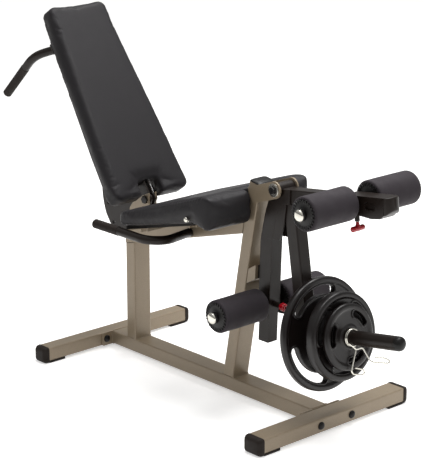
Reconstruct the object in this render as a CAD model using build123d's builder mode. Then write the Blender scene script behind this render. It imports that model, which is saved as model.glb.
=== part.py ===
from build123d import *
import math
import os

os.makedirs("parts", exist_ok=True)

# ------------------------------------------------------------------ driving dimensions (mm)
# Side views are drawn in stations: y runs rearward from the front foot's face, z up from the floor.
MID = 671.5                     # station half-way along the machine, where the origin sits
SOLE = 8.0                      # rubber under the feet
TUBE_H = 50.8                   # height of the feet and the spine
TUBE_W = 76.2                   # width of the spine, uprights and seat rail
WALL = 3.0                      # tube wall
FRONT_FOOT_Y, FRONT_FOOT_D, FRONT_FOOT_L = 0.0, 76.2, 673.0
REAR_FOOT_Y, REAR_FOOT_D, REAR_FOOT_L = 1150.3, 60.6, 671.0
FOOT_CAP_T, SOLE_L = 16.0, 75.0
FLANGE_T, FRONT_BOLT_X, REAR_BOLT_X, BOLT_Z = 6.0, 74.0, 66.5, 34.0
REAR_POST_Y = 1032.9            # centre of the rear upright
POST_BASE_Y, POST_BASE_Z, POST_SLOPE = 473.5, 54.0, 0.1779   # front edge of the leaning post
POST_TOP_Z = 792.0
RAIL_Y, RAIL_Z, RAIL_SLOPE = 748.8, 512.3, 0.2773
RAIL_RISE = TUBE_H * math.hypot(1, RAIL_SLOPE)
RAIL_END_Y = 1058.3
PIVOT = (268.0, 789.0)          # lever pivot
PIVOT_R, HUB_R, HUB_HALF = 12.7, 22.5, 37.6
FORK_IN, FORK_T, FORK_R, FORK_LEN, FORK_TILT = 38.1, 6.0, 30.0, 125.0, 19.5
ARM_TOP = (267.0, 792.0)        # a point on the curl arm's top face
ARM_SLOPE, ARM_END_Y = 0.127, -209.0
SHIN_Y, SHIN_Z, SHIN_LEAN, SHIN_D = 325.7, 500.0, 0.0384, 54.0
SHIN_END_Z, TONGUE_Z = 396.0, 345.0
SLIDER_W, SLIDER_D, SLIDER_TOP_Z, SLIDER_END_Z = 44.0, 47.2, 610.0, 230.0
PIN_STEP, PIN_HOLE_R = 30.0, 4.5   # spacing of the adjusting holes
SHIN_AXLE_Z = 373.0
WEIGHT_Y, WEIGHT_Z, WEIGHT_LEAN, WEIGHT_END_Z = 199.0, 648.0, 0.1618, 284.0
HORN_TIP, HORN_TILT, HORN_R = (-280.0, 381.0), 9.2, 24.8
CURL_AXLE = (-73.0, 816.0)
AXLE_R, AXLE_END = 12.7, 264.0
FOAM_R, FOAM_IN, FOAM_OUT, FOAM_BORE = 57.5, 50.0, 247.0, 16.0
DISC_R, DISC_T = 47.0, 4.0
BOSS_R, BOSS_END = 20.0, 262.0   # raised centre of the outer end disc
PLATE_BORE = 25.6
HINGE = (965.0, 610.0)          # back-rest hinge
HINGE_R = 10.0
LOCK_R, LOCK_STEPS = 240.0, (4.0, -14.5, -33.0)
PAD_FOOT, PAD_LEAN = (932.0, 634.0), 34.4
PAD_L, PAD_T, BOARD_T = 785.0, 54.0, 12.0   # the cover's sides wrap the board as well
PAD_HALF = ((0.0, 177.0), (200.0, 171.0), (438.0, 156.5), (PAD_L, 132.0))   # half width up the pad
NOTCH_HALF, NOTCH_H = 50.0, 59.0
SLOT_HALF, SLOT_TOP = 13.5, 100.0   # pocket the side plates pass through
SEAT_HALF = 240.0
GAP = 0.4                       # running gap between bodies


# ------------------------------------------------------------------ helpers
def at(x, y, z):
    """Point in the row frame from a station."""
    return Vector(x, y - MID, z)


def side(x):
    """Side-view plane at one x: local x is the station, local y is the height."""
    return Plane(origin=(x, -MID, 0), x_dir=(0, 1, 0), z_dir=(1, 0, 0))


def bar(start, end, width, depth, wall=WALL, corner=5.0):
    """Straight rectangular tube on the centre plane between two points, solid if it has no wall."""
    run = Vector(0, end[0] - start[0], end[1] - start[1])
    with BuildPart() as tube:
        with BuildSketch(Plane(origin=at(0, *start), x_dir=(1, 0, 0), z_dir=run)):
            RectangleRounded(width, depth, corner)
            if wall:
                RectangleRounded(width - 2 * wall, depth - 2 * wall, corner - wall, mode=Mode.SUBTRACT)
        extrude(amount=run.length)
    return tube.part


def sheet(outline, x_from, x_to, corner=0.0, holes=()):
    """Flat profile drawn in the side view and given a thickness across the machine."""
    with BuildPart() as plate:
        with BuildSketch(side(x_from)):
            with BuildLine():
                Polyline(*outline, close=True)
            make_face()
            if corner:
                fillet(vertices(), corner)
            for centre, radius in holes:
                with Locations(centre):
                    Circle(radius, mode=Mode.SUBTRACT)
        extrude(amount=x_to - x_from)
    return plate.part


def both_sides(part):
    """The part and its mirror image across the machine's centre plane."""
    with BuildPart() as pair:
        add(part)
        mirror(about=Plane.YZ)
    return pair.part


def rod(centre, radius, x_from, x_to, bore=0.0):
    """Round bar or tube running across the machine."""
    with BuildPart() as shaft:
        with BuildSketch(side(x_from)):
            with Locations(centre):
                Circle(radius)
                if bore:
                    Circle(bore, mode=Mode.SUBTRACT)
        extrude(amount=x_to - x_from)
    return shaft.part


def stick(start, run, radius, length, bore=0.0, x=0.0):
    """Round bar or tube from a side-view point along a side-view direction."""
    with BuildPart() as shaft:
        with BuildSketch(Plane(origin=at(x, *start), x_dir=(1, 0, 0), z_dir=(0, run[0], run[1]))):
            Circle(radius)
            if bore:
                Circle(bore, mode=Mode.SUBTRACT)
        extrude(amount=length)
    return shaft.part


def bent_tube(points, bend, radius, wall):
    """Tube swept along three points with one round bend."""
    a, b, c = (Vector(*p) for p in points)
    flat = Plane(origin=b, x_dir=a - b, z_dir=(a - b).cross(c - b))
    local = [flat.to_local_coords(p) for p in (a, b, c)]
    with BuildPart() as tube:
        with BuildLine(flat):
            FilletPolyline(*[(p.X, p.Y) for p in local], radius=bend)
        with BuildSketch(Plane(origin=a, z_dir=b - a)):
            Circle(radius)
            Circle(radius - wall, mode=Mode.SUBTRACT)
        sweep()
    return tube.part


def less(part, *tools):
    """Part with the given tool solids cut away."""
    with BuildPart() as body:
        add(part)
        for tool in tools:
            add(tool, mode=Mode.SUBTRACT)
    return body.part


def joined(*parts):
    """Welded pieces as one node."""
    with BuildPart() as body:
        for piece in parts:
            add(piece)
    return body.part


def save(name, part):
    """Write one named node."""
    part.label = name
    export_step(part, f"parts/{name}.step")


def post_front(z):
    """Station of the leaning post's front face at a height."""
    return POST_BASE_Y - (z - POST_BASE_Z) * POST_SLOPE


def rail_top(y):
    """Height of the seat rail's top face at a station."""
    return RAIL_Z + (RAIL_Y - y) * RAIL_SLOPE + RAIL_RISE


def rail_under(y):
    """Height of the seat rail's underside at a station."""
    return RAIL_Z + (RAIL_Y - y) * RAIL_SLOPE


def shin_mid(z):
    """Station of the shin leg's centreline at a height."""
    return SHIN_Y + (SHIN_Z - z) * SHIN_LEAN


def weight_mid(z):
    """Station of the weight leg's centreline at a height."""
    return WEIGHT_Y - (WEIGHT_Z - z) * WEIGHT_LEAN


def arm_top(y):
    """Height of the curl arm's top face at a station."""
    return ARM_TOP[1] + (ARM_TOP[0] - y) * ARM_SLOPE


def polar(centre, radius, angle):
    """Side-view point at an angle above the rearward direction."""
    return (centre[0] + radius * math.cos(math.radians(angle)),
            centre[1] + radius * math.sin(math.radians(angle)))


lean_s, lean_c = math.sin(math.radians(PAD_LEAN)), math.cos(math.radians(PAD_LEAN))


def lean(a, b):
    """Side-view point from distance up the back pad and depth behind its face."""
    return (PAD_FOOT[0] + lean_s * a + lean_c * b, PAD_FOOT[1] + lean_c * a - lean_s * b)


def pad_plane(b):
    """Plane of the back pad at a depth behind its face, facing the user."""
    return Plane(origin=at(0, *lean(0, b)), x_dir=(1, 0, 0), z_dir=(0, -lean_c, lean_s))


# ------------------------------------------------------------------ feet, spine and uprights
def foot(y0, depth, length, bolt_x):
    """Cross tube of one foot, drilled for its two flange bolts."""
    with BuildPart() as tube:
        with BuildSketch(side(-length / 2)):
            with Locations((y0 + depth / 2, SOLE + TUBE_H / 2)):
                RectangleRounded(depth, TUBE_H, 6)
                RectangleRounded(depth - 2 * WALL, TUBE_H - 2 * WALL, 3, mode=Mode.SUBTRACT)
        extrude(amount=length)
        with BuildSketch(Plane(origin=at(0, y0 - 1, BOLT_Z), x_dir=(1, 0, 0), z_dir=(0, 1, 0))):
            with Locations((-bolt_x, 0), (bolt_x, 0)):
                Circle(6)
        extrude(amount=depth + 2, mode=Mode.SUBTRACT)
    return tube.part


def foot_cap(y0, depth, length):
    """Faceted end cap whose sole wraps under the tube, both ends."""
    with BuildPart() as cap:
        with BuildSketch(side(length / 2)):
            with Locations((y0 + depth / 2, (SOLE + TUBE_H + 2) / 2)):
                RectangleRounded(depth + 4, SOLE + TUBE_H + 2, 8)
        extrude(amount=FOOT_CAP_T)
        chamfer(cap.faces().sort_by(Axis.X)[-1].edges(), 6)
        with BuildSketch(side(length / 2 - SOLE_L)):
            with Locations((y0 + depth / 2, SOLE / 2)):
                Rectangle(depth, SOLE)
        extrude(amount=SOLE_L)
        with BuildSketch(side(length / 2 - 22)):
            with Locations((y0 + depth / 2, SOLE + TUBE_H / 2)):
                RectangleRounded(depth - 2 * WALL, TUBE_H - 2 * WALL, 3)
        extrude(amount=22)
        mirror(about=Plane.YZ)
    return cap.part


save("front_foot", foot(FRONT_FOOT_Y, FRONT_FOOT_D, FRONT_FOOT_L, FRONT_BOLT_X))
save("rear_foot", foot(REAR_FOOT_Y, REAR_FOOT_D, REAR_FOOT_L, REAR_BOLT_X))
save("foot_caps", joined(foot_cap(FRONT_FOOT_Y, FRONT_FOOT_D, FRONT_FOOT_L),
                         foot_cap(REAR_FOOT_Y, REAR_FOOT_D, REAR_FOOT_L)))

SPINE_FROM = FRONT_FOOT_Y + FRONT_FOOT_D + FLANGE_T
SPINE_TO = REAR_FOOT_Y - FLANGE_T
with BuildPart() as spine:
    add(bar((SPINE_FROM, SOLE + TUBE_H / 2), (SPINE_TO, SOLE + TUBE_H / 2), TUBE_W, TUBE_H))
    for y, bolt_x in ((SPINE_FROM - FLANGE_T, FRONT_BOLT_X), (SPINE_TO, REAR_BOLT_X)):
        with BuildSketch(Plane(origin=at(0, y, SOLE + TUBE_H / 2), x_dir=(1, 0, 0), z_dir=(0, 1, 0))):
            RectangleRounded(2 * bolt_x + 44, TUBE_H, 8)
            with Locations((-bolt_x, SOLE + TUBE_H / 2 - BOLT_Z), (bolt_x, SOLE + TUBE_H / 2 - BOLT_Z)):
                Circle(6, mode=Mode.SUBTRACT)
        extrude(amount=FLANGE_T)
save("spine", spine.part)

with BuildPart() as flange_bolts:
    grips = ((FRONT_FOOT_Y, FRONT_FOOT_D + FLANGE_T, FRONT_BOLT_X),
             (REAR_FOOT_Y - FLANGE_T, REAR_FOOT_D + FLANGE_T, REAR_BOLT_X))
    for y, grip, bolt_x in grips:
        for x in (-bolt_x, bolt_x):
            head = Plane(origin=at(x, y, BOLT_Z), x_dir=(1, 0, 0), z_dir=(0, -1, 0))
            with BuildSketch(head):
                Circle(14)
            extrude(amount=9, taper=22)
            with BuildSketch(head):
                Circle(6)
            extrude(amount=-(grip + 14))
            with BuildSketch(head.offset(-grip)):
                RegularPolygon(11, 6)
            extrude(amount=-10)
save("flange_bolts", flange_bolts.part)

rear_post = bar((REAR_POST_Y, SOLE + TUBE_H), (REAR_POST_Y, 470), TUBE_W, TUBE_H)
over_rail = sheet([(1000, rail_under(1000)), (1066, rail_under(1066)), (1066, 520), (1000, 520)], -60, 60)
save("rear_upright", less(rear_post, over_rail))

post_mid = TUBE_H / 2 * math.hypot(1, POST_SLOPE)
front_post = bar((post_front(40) + post_mid, 40), (post_front(POST_TOP_Z) + post_mid, POST_TOP_Z),
                 TUBE_W, TUBE_H)
under_spine = sheet([(420, 0), (580, 0), (580, SOLE + TUBE_H), (420, SOLE + TUBE_H)], -60, 60)
save("front_upright", less(front_post, under_spine))

post_up = Vector(0, -POST_SLOPE, 1).normalized()
with BuildPart() as upright_cap:
    top = Plane(origin=at(0, post_front(POST_TOP_Z) + post_mid, POST_TOP_Z), x_dir=(1, 0, 0), z_dir=post_up)
    with BuildSketch(top):
        RectangleRounded(TUBE_W - 0.4, TUBE_H, 6)
    extrude(amount=3)
    with BuildSketch(top.offset(3)):
        RectangleRounded(TUBE_W - 6, TUBE_H - 6, 10)
    extrude(amount=13, taper=35)
    with BuildSketch(top):
        RectangleRounded(TUBE_W - 2 * WALL, TUBE_H - 2 * WALL, 2)
    extrude(amount=-18)
save("upright_cap", upright_cap.part)

rail_dir = Vector(0, -1, RAIL_SLOPE).normalized()
rail_up = (rail_dir.Z, -rail_dir.Y)
rail = bar((1100 + rail_up[0] * TUBE_H / 2, rail_under(1100) + rail_up[1] * TUBE_H / 2),
           (395 + rail_up[0] * TUBE_H / 2, rail_under(395) + rail_up[1] * TUBE_H / 2), TUBE_W, TUBE_H)
behind = sheet([(RAIL_END_Y, 380), (1160, 380), (1160, 520), (RAIL_END_Y, 520)], -60, 60)
post_depth = 2 * post_mid
ahead = sheet([(post_front(540) + post_depth, 540), (post_front(720) + post_depth, 720), (300, 720),
               (300, 540)], -60, 60)
save("seat_rail", less(rail, behind, ahead))

INNER = WALL * math.hypot(1, RAIL_SLOPE)
save("rail_end_plug", sheet([(1044, rail_under(1044) + INNER), (RAIL_END_Y, rail_under(RAIL_END_Y) + INNER),
                             (RAIL_END_Y, rail_top(RAIL_END_Y) - INNER), (1044, rail_top(1044) - INNER)],
                            -33, 33))

# ------------------------------------------------------------------ lever bearing on the post
tilt = math.radians(FORK_TILT)
along, across = (math.cos(tilt), -math.sin(tilt)), (math.sin(tilt), math.cos(tilt))
with BuildPart() as fork_plates:
    with BuildSketch(side(FORK_IN)):
        with BuildLine():
            Polyline(*[(PIVOT[0] + u * along[0] + v * across[0], PIVOT[1] + u * along[1] + v * across[1])
                       for u, v in ((0, 29.5), (FORK_LEN, 29.5), (FORK_LEN, -4), (FORK_LEN - 14, -29.5),
                                    (0, -29.5))], close=True)
        make_face()
        with Locations(PIVOT):
            Circle(FORK_R)
            Circle(PIVOT_R, mode=Mode.SUBTRACT)
    extrude(amount=FORK_T)
    mirror(about=Plane.YZ)
save("fork_plates", fork_plates.part)
save("pivot_shaft", rod(PIVOT, PIVOT_R, -FORK_IN - FORK_T, FORK_IN + FORK_T))

with BuildPart() as pivot_bolts:
    add(rod(PIVOT, 23.5, FORK_IN + FORK_T, FORK_IN + FORK_T + 4))
    with BuildSketch(side(FORK_IN + FORK_T + 4)):
        with Locations(PIVOT):
            Circle(15)
    extrude(amount=5, taper=30)
    with BuildSketch(side(FORK_IN + FORK_T + 9)):
        with Locations(PIVOT):
            RegularPolygon(9, 6)
    extrude(amount=4)
    mirror(about=Plane.YZ)
save("pivot_bolts", pivot_bolts.part)


def shin_rear(z):
    """Rear face of the shin leg, where the rubber stop meets it."""
    return shin_mid(z) + SHIN_D / 2 + 0.3


save("stop_bracket", sheet([(post_front(482), 482), (shin_rear(503) + 9, 503), (shin_rear(452) + 9, 452),
                            (post_front(428), 428)], -36, 36))
save("stop_rubber", sheet([(shin_rear(501) + 9, 501), (shin_rear(501), 501), (shin_rear(454), 454),
                           (shin_rear(454) + 9, 454)], -24, 24))

# ------------------------------------------------------------------ seat
SEAT_Y, SEAT_Z, SEAT_SLOPE = 670.0, 618.0, 0.2553


def seat_under(y):
    """Height of the seat pad's underside at a station."""
    return SEAT_Z + (SEAT_Y - y) * SEAT_SLOPE


BOARD_V = BOARD_T * math.hypot(1, SEAT_SLOPE)
with BuildPart() as seat_crossbars:
    for y in (540, 800):
        outer = [(y - 20, rail_top(y - 20)), (y + 20, rail_top(y + 20)),
                 (y + 20, seat_under(y + 20) - BOARD_V), (y - 20, seat_under(y - 20) - BOARD_V)]
        add(sheet(outer, -165, 165))
        for x_from, x_to in ((-166, -42), (42, 166)):
            inner = [(y - 16, rail_top(y - 16) - 1), (y + 16, rail_top(y + 16) - 1),
                     (y + 16, seat_under(y + 16) - BOARD_V - 4), (y - 16, seat_under(y - 16) - BOARD_V - 4)]
            add(sheet(inner, x_from, x_to), mode=Mode.SUBTRACT)
save("seat_crossbars", seat_crossbars.part)

save("seat_board", sheet([(478, seat_under(478)), (838, seat_under(838)),
                          (838, seat_under(838) - BOARD_V), (478, seat_under(478) - BOARD_V)], -214, 214))

with BuildPart() as seat_pad:
    with BuildSketch(side(-SEAT_HALF)):
        with BuildLine():
            Polyline((838, seat_under(838)), (864, 588), (862, 606), (846, 623), (432, 762), (400, 770),
                     (378, 762), (367, 738), (366, 690), (373, 664), (390, 653), (412, 656),
                     (477, seat_under(477)), close=True)
        make_face()
    extrude(amount=2 * SEAT_HALF)
    with BuildSketch(Plane(origin=at(0, 0, 0), x_dir=(1, 0, 0), z_dir=(0, 0, 1))):
        with Locations((0, 615.5)):
            RectangleRounded(2 * SEAT_HALF, 501, 34)
        with Locations((0, 402)):
            Rectangle(2 * 47, 76, mode=Mode.SUBTRACT)
    extrude(amount=900, mode=Mode.INTERSECT)
save("seat_pad", seat_pad.part)

with BuildPart() as seat_side_bolts:
    with BuildSketch(side(SEAT_HALF)):
        with Locations((492, 676)):
            Circle(9)
    extrude(amount=5, taper=35)
    mirror(about=Plane.YZ)
save("seat_side_bolts", seat_side_bolts.part)

seat_tube = bent_tube((at(30, 699.3, 548.1), at(240, 640, 558.5), at(240, 979, 558.5)), 70, 15.9, 2.5)
rail_side = sheet([(640, 500), (760, 500), (760, 600), (640, 600)], -38.1, 38.1)
seat_tube = less(seat_tube, rail_side)
save("seat_handles", both_sides(seat_tube))
seat_grip = joined(stick((848, 558.5), (1, 0), 17.2, 131, bore=15.9, x=240),
                   stick((979, 558.5), (1, 0), 17.2, 4, x=240))
save("seat_grips", both_sides(seat_grip))

# ------------------------------------------------------------------ back hinge and adjuster
ears = sheet([(946, rail_top(946)), (946, 638), (984, 621), (1036, 586), (1054, 563), (RAIL_END_Y, 540),
              (RAIL_END_Y, rail_top(RAIL_END_Y))], 12.9, 18.9, holes=((HINGE, HINGE_R),))
save("hinge_ears", both_sides(ears))

with BuildPart() as hinge_bolt:
    add(rod(HINGE, HINGE_R, -18.9, 18.9))
    with BuildSketch(side(18.9)):
        with Locations(HINGE):
            RegularPolygon(15, 6)
    extrude(amount=9)
    mirror(about=Plane.YZ)
save("hinge_bolt", hinge_bolt.part)

outer_arc = [polar(HINGE, 267, t) for t in range(9, -27, -4)]
foot_of_quadrant = [polar(HINGE, 262, -31), polar(HINGE, 258, -36), (RAIL_END_Y, 440),
                    (RAIL_END_Y, rail_top(RAIL_END_Y)), (1020, rail_top(1020))]
inner_edge = [polar(HINGE, 60, -40), polar(HINGE, 60, -10), polar(HINGE, 100, 2),
              polar(HINGE, 150, 6), polar(HINGE, 200, 9)]
quadrant = outer_arc + foot_of_quadrant + inner_edge
save("adjuster_quadrant", sheet(quadrant, -6, 6,
                                holes=tuple((polar(HINGE, LOCK_R, t), 8.0) for t in LOCK_STEPS)))

# ------------------------------------------------------------------ back rest
LOCK = polar(HINGE, LOCK_R, LOCK_STEPS[0])
TUBE_B = PAD_T + BOARD_T + TUBE_H / 2
side_plate = sheet([lean(a, b) for a, b in (
    (-1, 19), (60, 19), (98, 50), (98, 66), (272, 66), (272, 69), (312, 69), (312, 113.8),
    (272, 113.8), (272, 124), (240, 166), (196, 216), (170, 246), (150, 252), (130, 245), (118, 226),
    (104, 160), (84, 104), (66, 76), (61, 60), (-1, 60))], 6 + GAP, 12 + GAP, holes=((HINGE, HINGE_R + 0.06), (LOCK, 5.05)))
eye = less(rod(HINGE, 24, 6 + GAP, 12 + GAP), rod(HINGE, HINGE_R + 0.06, 6, 13))
with BuildPart() as back_side_plates:
    add(side_plate)
    add(eye)
    mirror(about=Plane.YZ)
    add(rod(HINGE, 17, -6 - GAP, 6 + GAP, bore=HINGE_R + 0.06))
    add(rod(LOCK, 11, 12 + GAP, 40, bore=5.05))
save("back_side_plates", back_side_plates.part)

with BuildPart() as back_tube:
    add(bar(lean(273, TUBE_B), lean(726, TUBE_B), TUBE_H, TUBE_H))
    for a, half in ((643, 135), (340, 125)):
        with BuildSketch(pad_plane(PAD_T + BOARD_T)):
            for way in (-1, 1):
                with Locations((way * (23 + half) / 2, a)):
                    Rectangle(half - 23, 40)
        extrude(amount=-6)
save("back_tube", back_tube.part)
save("back_tube_plug", bar(lean(726, TUBE_B), lean(730, TUBE_B), TUBE_H, TUBE_H, wall=0))


def pad_outline(inset, low):
    """Outline of the back pad or its board: up one side, down the other."""
    rising = [(half - inset, min(max(a, low), PAD_L - inset)) for a, half in PAD_HALF]
    return rising + [(-half, a) for half, a in reversed(rising)]


with BuildPart() as back_board:
    with BuildSketch(pad_plane(PAD_T)):
        with BuildLine():
            Polyline(*pad_outline(12, 8), close=True)
        make_face()
        fillet(vertices(), 22)
        with Locations((0, 20)):
            Rectangle(2 * NOTCH_HALF + 4, 2 * (NOTCH_H - 18), mode=Mode.SUBTRACT)
        with Locations((0, SLOT_TOP / 2)):
            Rectangle(2 * SLOT_HALF, SLOT_TOP, mode=Mode.SUBTRACT)
    extrude(amount=-BOARD_T)
save("back_board", back_board.part)

with BuildPart() as back_pad:
    with BuildSketch(pad_plane(0)):
        with BuildLine():
            Polyline(*pad_outline(0, 0), close=True)
        make_face()
        fillet(vertices(), 30)
        with Locations((0, 0)):
            RectangleRounded(2 * NOTCH_HALF, 2 * NOTCH_H, 22, mode=Mode.SUBTRACT)
    extrude(amount=-(PAD_T + BOARD_T))
    with BuildSketch(pad_plane(PAD_T)):
        with BuildLine():
            Polyline(*pad_outline(12, 8), close=True)
        make_face()
        fillet(vertices(), 22)
    extrude(amount=-BOARD_T, mode=Mode.SUBTRACT)
    with BuildSketch(pad_plane(PAD_T)):
        with Locations((0, SLOT_TOP / 2)):
            Rectangle(2 * SLOT_HALF, SLOT_TOP)
    extrude(amount=PAD_T - 16, mode=Mode.SUBTRACT)
    chamfer(back_pad.faces().sort_by(Axis((0, 0, 0), (0, -lean_c, lean_s)))[-1].edges(), 9)
save("back_pad", back_pad.part)

handle = bent_tube((at(118, *lean(643, 74)), at(157, 1434, 1093), at(157, 1610, 925)), 150, 15.9, 2.5)
with BuildPart() as pad_space:
    with BuildSketch(pad_plane(PAD_T + BOARD_T + 6)):
        with Locations((118, 643)):
            Rectangle(110, 120)
    extrude(amount=60)
handle = less(handle, pad_space.part)
save("back_handles", both_sides(handle))
grip_dir = Vector(0, 1610 - 1434, 925 - 1093).normalized()
GRIP_L = 165.0
grip_foot = (1610 - grip_dir.Y * GRIP_L, 925 - grip_dir.Z * GRIP_L)
back_grip = joined(stick(grip_foot, (grip_dir.Y, grip_dir.Z), 17.2, GRIP_L, bore=15.9, x=157),
                   stick((1610, 925), (grip_dir.Y, grip_dir.Z), 17.2, 4, x=157))
save("back_grips", both_sides(back_grip))

save("back_lock_pin", rod(LOCK, 5.0, 6 + GAP, 62))
save("back_lock_knob", rod(LOCK, 14, 42, 66, bore=5.0))

# ------------------------------------------------------------------ lever
arm_run = Vector(0, -1, ARM_SLOPE).normalized()
arm_up = (arm_run.Z, -arm_run.Y)


def arm_point(y, up):
    """Side-view point on the curl arm at a station of its top line and a height above it."""
    return (y + arm_up[0] * up, arm_top(y) + arm_up[1] * up)


hub_space = rod(PIVOT, HUB_R, -40, 40)
arm = bar(arm_point(292, -TUBE_H / 2), arm_point(ARM_END_Y, -TUBE_H / 2), TUBE_H, TUBE_H)
pin_up, pin_foot = (arm_up[0], arm_up[1]), arm_point(-62.0, -TUBE_H - 1)
arm_holes = [stick((pin_foot[0] - arm_run.Y * PIN_STEP * step, pin_foot[1] - arm_run.Z * PIN_STEP * step),
                   pin_up, PIN_HOLE_R, 6) for step in range(5)]
save("curl_arm", less(arm, hub_space, *arm_holes))
arm_plug = bar(arm_point(ARM_END_Y, -TUBE_H / 2), arm_point(ARM_END_Y - 3, -TUBE_H / 2),
               TUBE_H, TUBE_H, wall=0)

cheek = sheet([(206, arm_top(206)), (250, arm_top(250)), (290, 790), (300, 768), (310, 735), (318, 712),
               (325, 688), (333, 651), (338, 610), (286, 610), (278, 660), (262, 715), (240, 742),
               (206, arm_top(206) - 51)], 25.4, 30.4)
hub = less(joined(rod(PIVOT, HUB_R, -HUB_HALF, HUB_HALF), both_sides(cheek)),
           rod(PIVOT, PIVOT_R + 0.06, -50, 50))
save("lever_hub", hub)

SHIN_F = SHIN_D / 2
heel = [(shin_mid(600) + SHIN_F, 600), (338, 651), (326, 688), (314, 717), (300, 734), (290, 740)]
shin_outline = [(shin_mid(TONGUE_Z) - SHIN_F, TONGUE_Z), (shin_mid(TONGUE_Z) - SHIN_F + 3, TONGUE_Z),
                (shin_mid(SHIN_END_Z) - SHIN_F + 3, SHIN_END_Z),
                (shin_mid(SHIN_END_Z) + SHIN_F, SHIN_END_Z)] + heel + [(shin_mid(736) - SHIN_F, 736)]
shin_bore = [(shin_mid(330) - SHIN_F + 3, 330), (shin_mid(330) + SHIN_F - 3, 330),
             (shin_mid(630) + SHIN_F - 3, 630), (shin_mid(630) - SHIN_F + 3, 630)]
shin_out = (-1 / math.hypot(1, SHIN_LEAN), -SHIN_LEAN / math.hypot(1, SHIN_LEAN))
PIN_FACE = (shin_mid(370.5) - SHIN_F, 370.5)


def off_shin(distance):
    """Side-view point ahead of the shin leg's front face on the pull pin's line."""
    return (PIN_FACE[0] + shin_out[0] * distance, PIN_FACE[1] + shin_out[1] * distance)


with BuildPart() as shin_leg:
    add(sheet(shin_outline, -25.4, 25.4))
    add(sheet(shin_bore, -22.4, 22.4), mode=Mode.SUBTRACT)
    add(stick(off_shin(0), shin_out, 10, 27))
    add(stick(off_shin(-4), shin_out, 4.05, 40), mode=Mode.SUBTRACT)
save("shin_leg", shin_leg.part)

weight = bar((weight_mid(790), 790), (weight_mid(WEIGHT_END_Z), WEIGHT_END_Z), TUBE_H, TUBE_H)
ARM_V = TUBE_H * math.hypot(1, ARM_SLOPE)
over_arm = sheet([(120, arm_top(120) - ARM_V), (300, arm_top(300) - ARM_V), (300, 860), (120, 860)], -40, 40)
save("weight_leg", less(weight, over_arm, hub_space))
wl = Vector(0, -WEIGHT_LEAN, -1).normalized()
weight_plug = bar((weight_mid(WEIGHT_END_Z), WEIGHT_END_Z),
                  (weight_mid(WEIGHT_END_Z) + wl.Y * 3, WEIGHT_END_Z + wl.Z * 3), TUBE_H, TUBE_H, wall=0)
save("lever_end_plugs", joined(arm_plug, weight_plug))

# ------------------------------------------------------------------ weight horn, plates and collar
horn_back = (math.cos(math.radians(HORN_TILT)), -math.sin(math.radians(HORN_TILT)))


def on_horn(s):
    """Side-view point on the horn's axis, measured back from its tip."""
    return (HORN_TIP[0] + horn_back[0] * s, HORN_TIP[1] + horn_back[1] * s)


def horn_face(s):
    """Plane across the horn, facing its tip: local x to the right, local y up."""
    return Plane(origin=at(0, *on_horn(s)), x_dir=(1, 0, 0), z_dir=(0, -horn_back[0], -horn_back[1]))


LEG_FACE_S = 404.0
COLLAR_GROOVE_S = 209.0          # shallow turned groove where the free end stops
with BuildPart() as weight_horn:
    with BuildSketch(horn_face(12)):
        Circle(HORN_R)
        Circle(HORN_R - 4, mode=Mode.SUBTRACT)
    extrude(amount=-(LEG_FACE_S - 12 + 20))
    with BuildSketch(horn_face(COLLAR_GROOVE_S)):
        Circle(HORN_R + 1)
        Circle(HORN_R - 0.8, mode=Mode.SUBTRACT)
    extrude(amount=-3, mode=Mode.SUBTRACT)
    with BuildSketch(horn_face(367.3)):
        Circle(48)
        Circle(HORN_R - 4, mode=Mode.SUBTRACT)
    extrude(amount=-8)
    half = TUBE_H / 2 * math.hypot(1, WEIGHT_LEAN)
    leg_face = [(weight_mid(260) - half, 260), (weight_mid(380) - half, 380), (260, 380), (260, 260)]
    add(sheet(leg_face, -60, 60), mode=Mode.SUBTRACT)
save("weight_horn", weight_horn.part)

with BuildPart() as horn_cap:
    with BuildSketch(horn_face(12)):
        Circle(HORN_R)
    extrude(amount=5)
    with BuildSketch(horn_face(7)):
        Circle(HORN_R - 0.5)
    extrude(amount=7, taper=45)
    with BuildSketch(horn_face(12)):
        Circle(HORN_R - 4)
    extrude(amount=-16)
save("horn_cap", horn_cap.part)

horn_axis = Axis(at(0, *on_horn(0)), (0, horn_back[0], horn_back[1]))
horn_side = Plane(origin=at(0, *on_horn(0)), x_dir=(0, horn_back[0], horn_back[1]), z_dir=(1, 0, 0))


def disc(front, rear, radius, boss, web, slot_r, slot_h, slots, boss_front=None):
    """Grip plate: rim, thinner web, hub boss and three hand slots."""
    bf = front if boss_front is None else boss_front
    mid = (front + rear) / 2
    with BuildPart() as body:
        with BuildSketch(horn_side):
            with BuildLine():
                Polyline((bf, PLATE_BORE), (bf, boss - 4), (bf + 4, boss), (mid - web, boss + 3),
                         (mid - web, radius - 24), (front, radius - 18), (front, radius - 5),
                         (front + 6, radius), (rear - 6, radius), (rear, radius - 5), (rear, radius - 18),
                         (mid + web, radius - 24), (mid + web, boss + 3), (rear, boss),
                         (rear, PLATE_BORE), close=True)
            make_face()
        revolve(axis=horn_axis)
        with BuildSketch(horn_face(bf - 2)):
            for centre, spread in slots:
                with BuildLine():
                    arc = CenterArc((0, 0), slot_r, centre - spread, 2 * spread)
                SlotArc(arc, slot_h)
        extrude(amount=-(rear - bf + 4), mode=Mode.SUBTRACT)
    return body.part


save("plate_large", disc(340, 367, 194, 56, 8, 150, 34, ((105, 34), (225, 34), (345, 34)), boss_front=291))
save("plate_medium", disc(252, 290.8, 150, 50, 12, 110, 30, ((149, 26), (29, 26), (269, 26))))
save("plate_small", disc(228, 251.8, 113, 44, 8, 80, 25, ((45, 19), (165, 19), (285, 19))))

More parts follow.
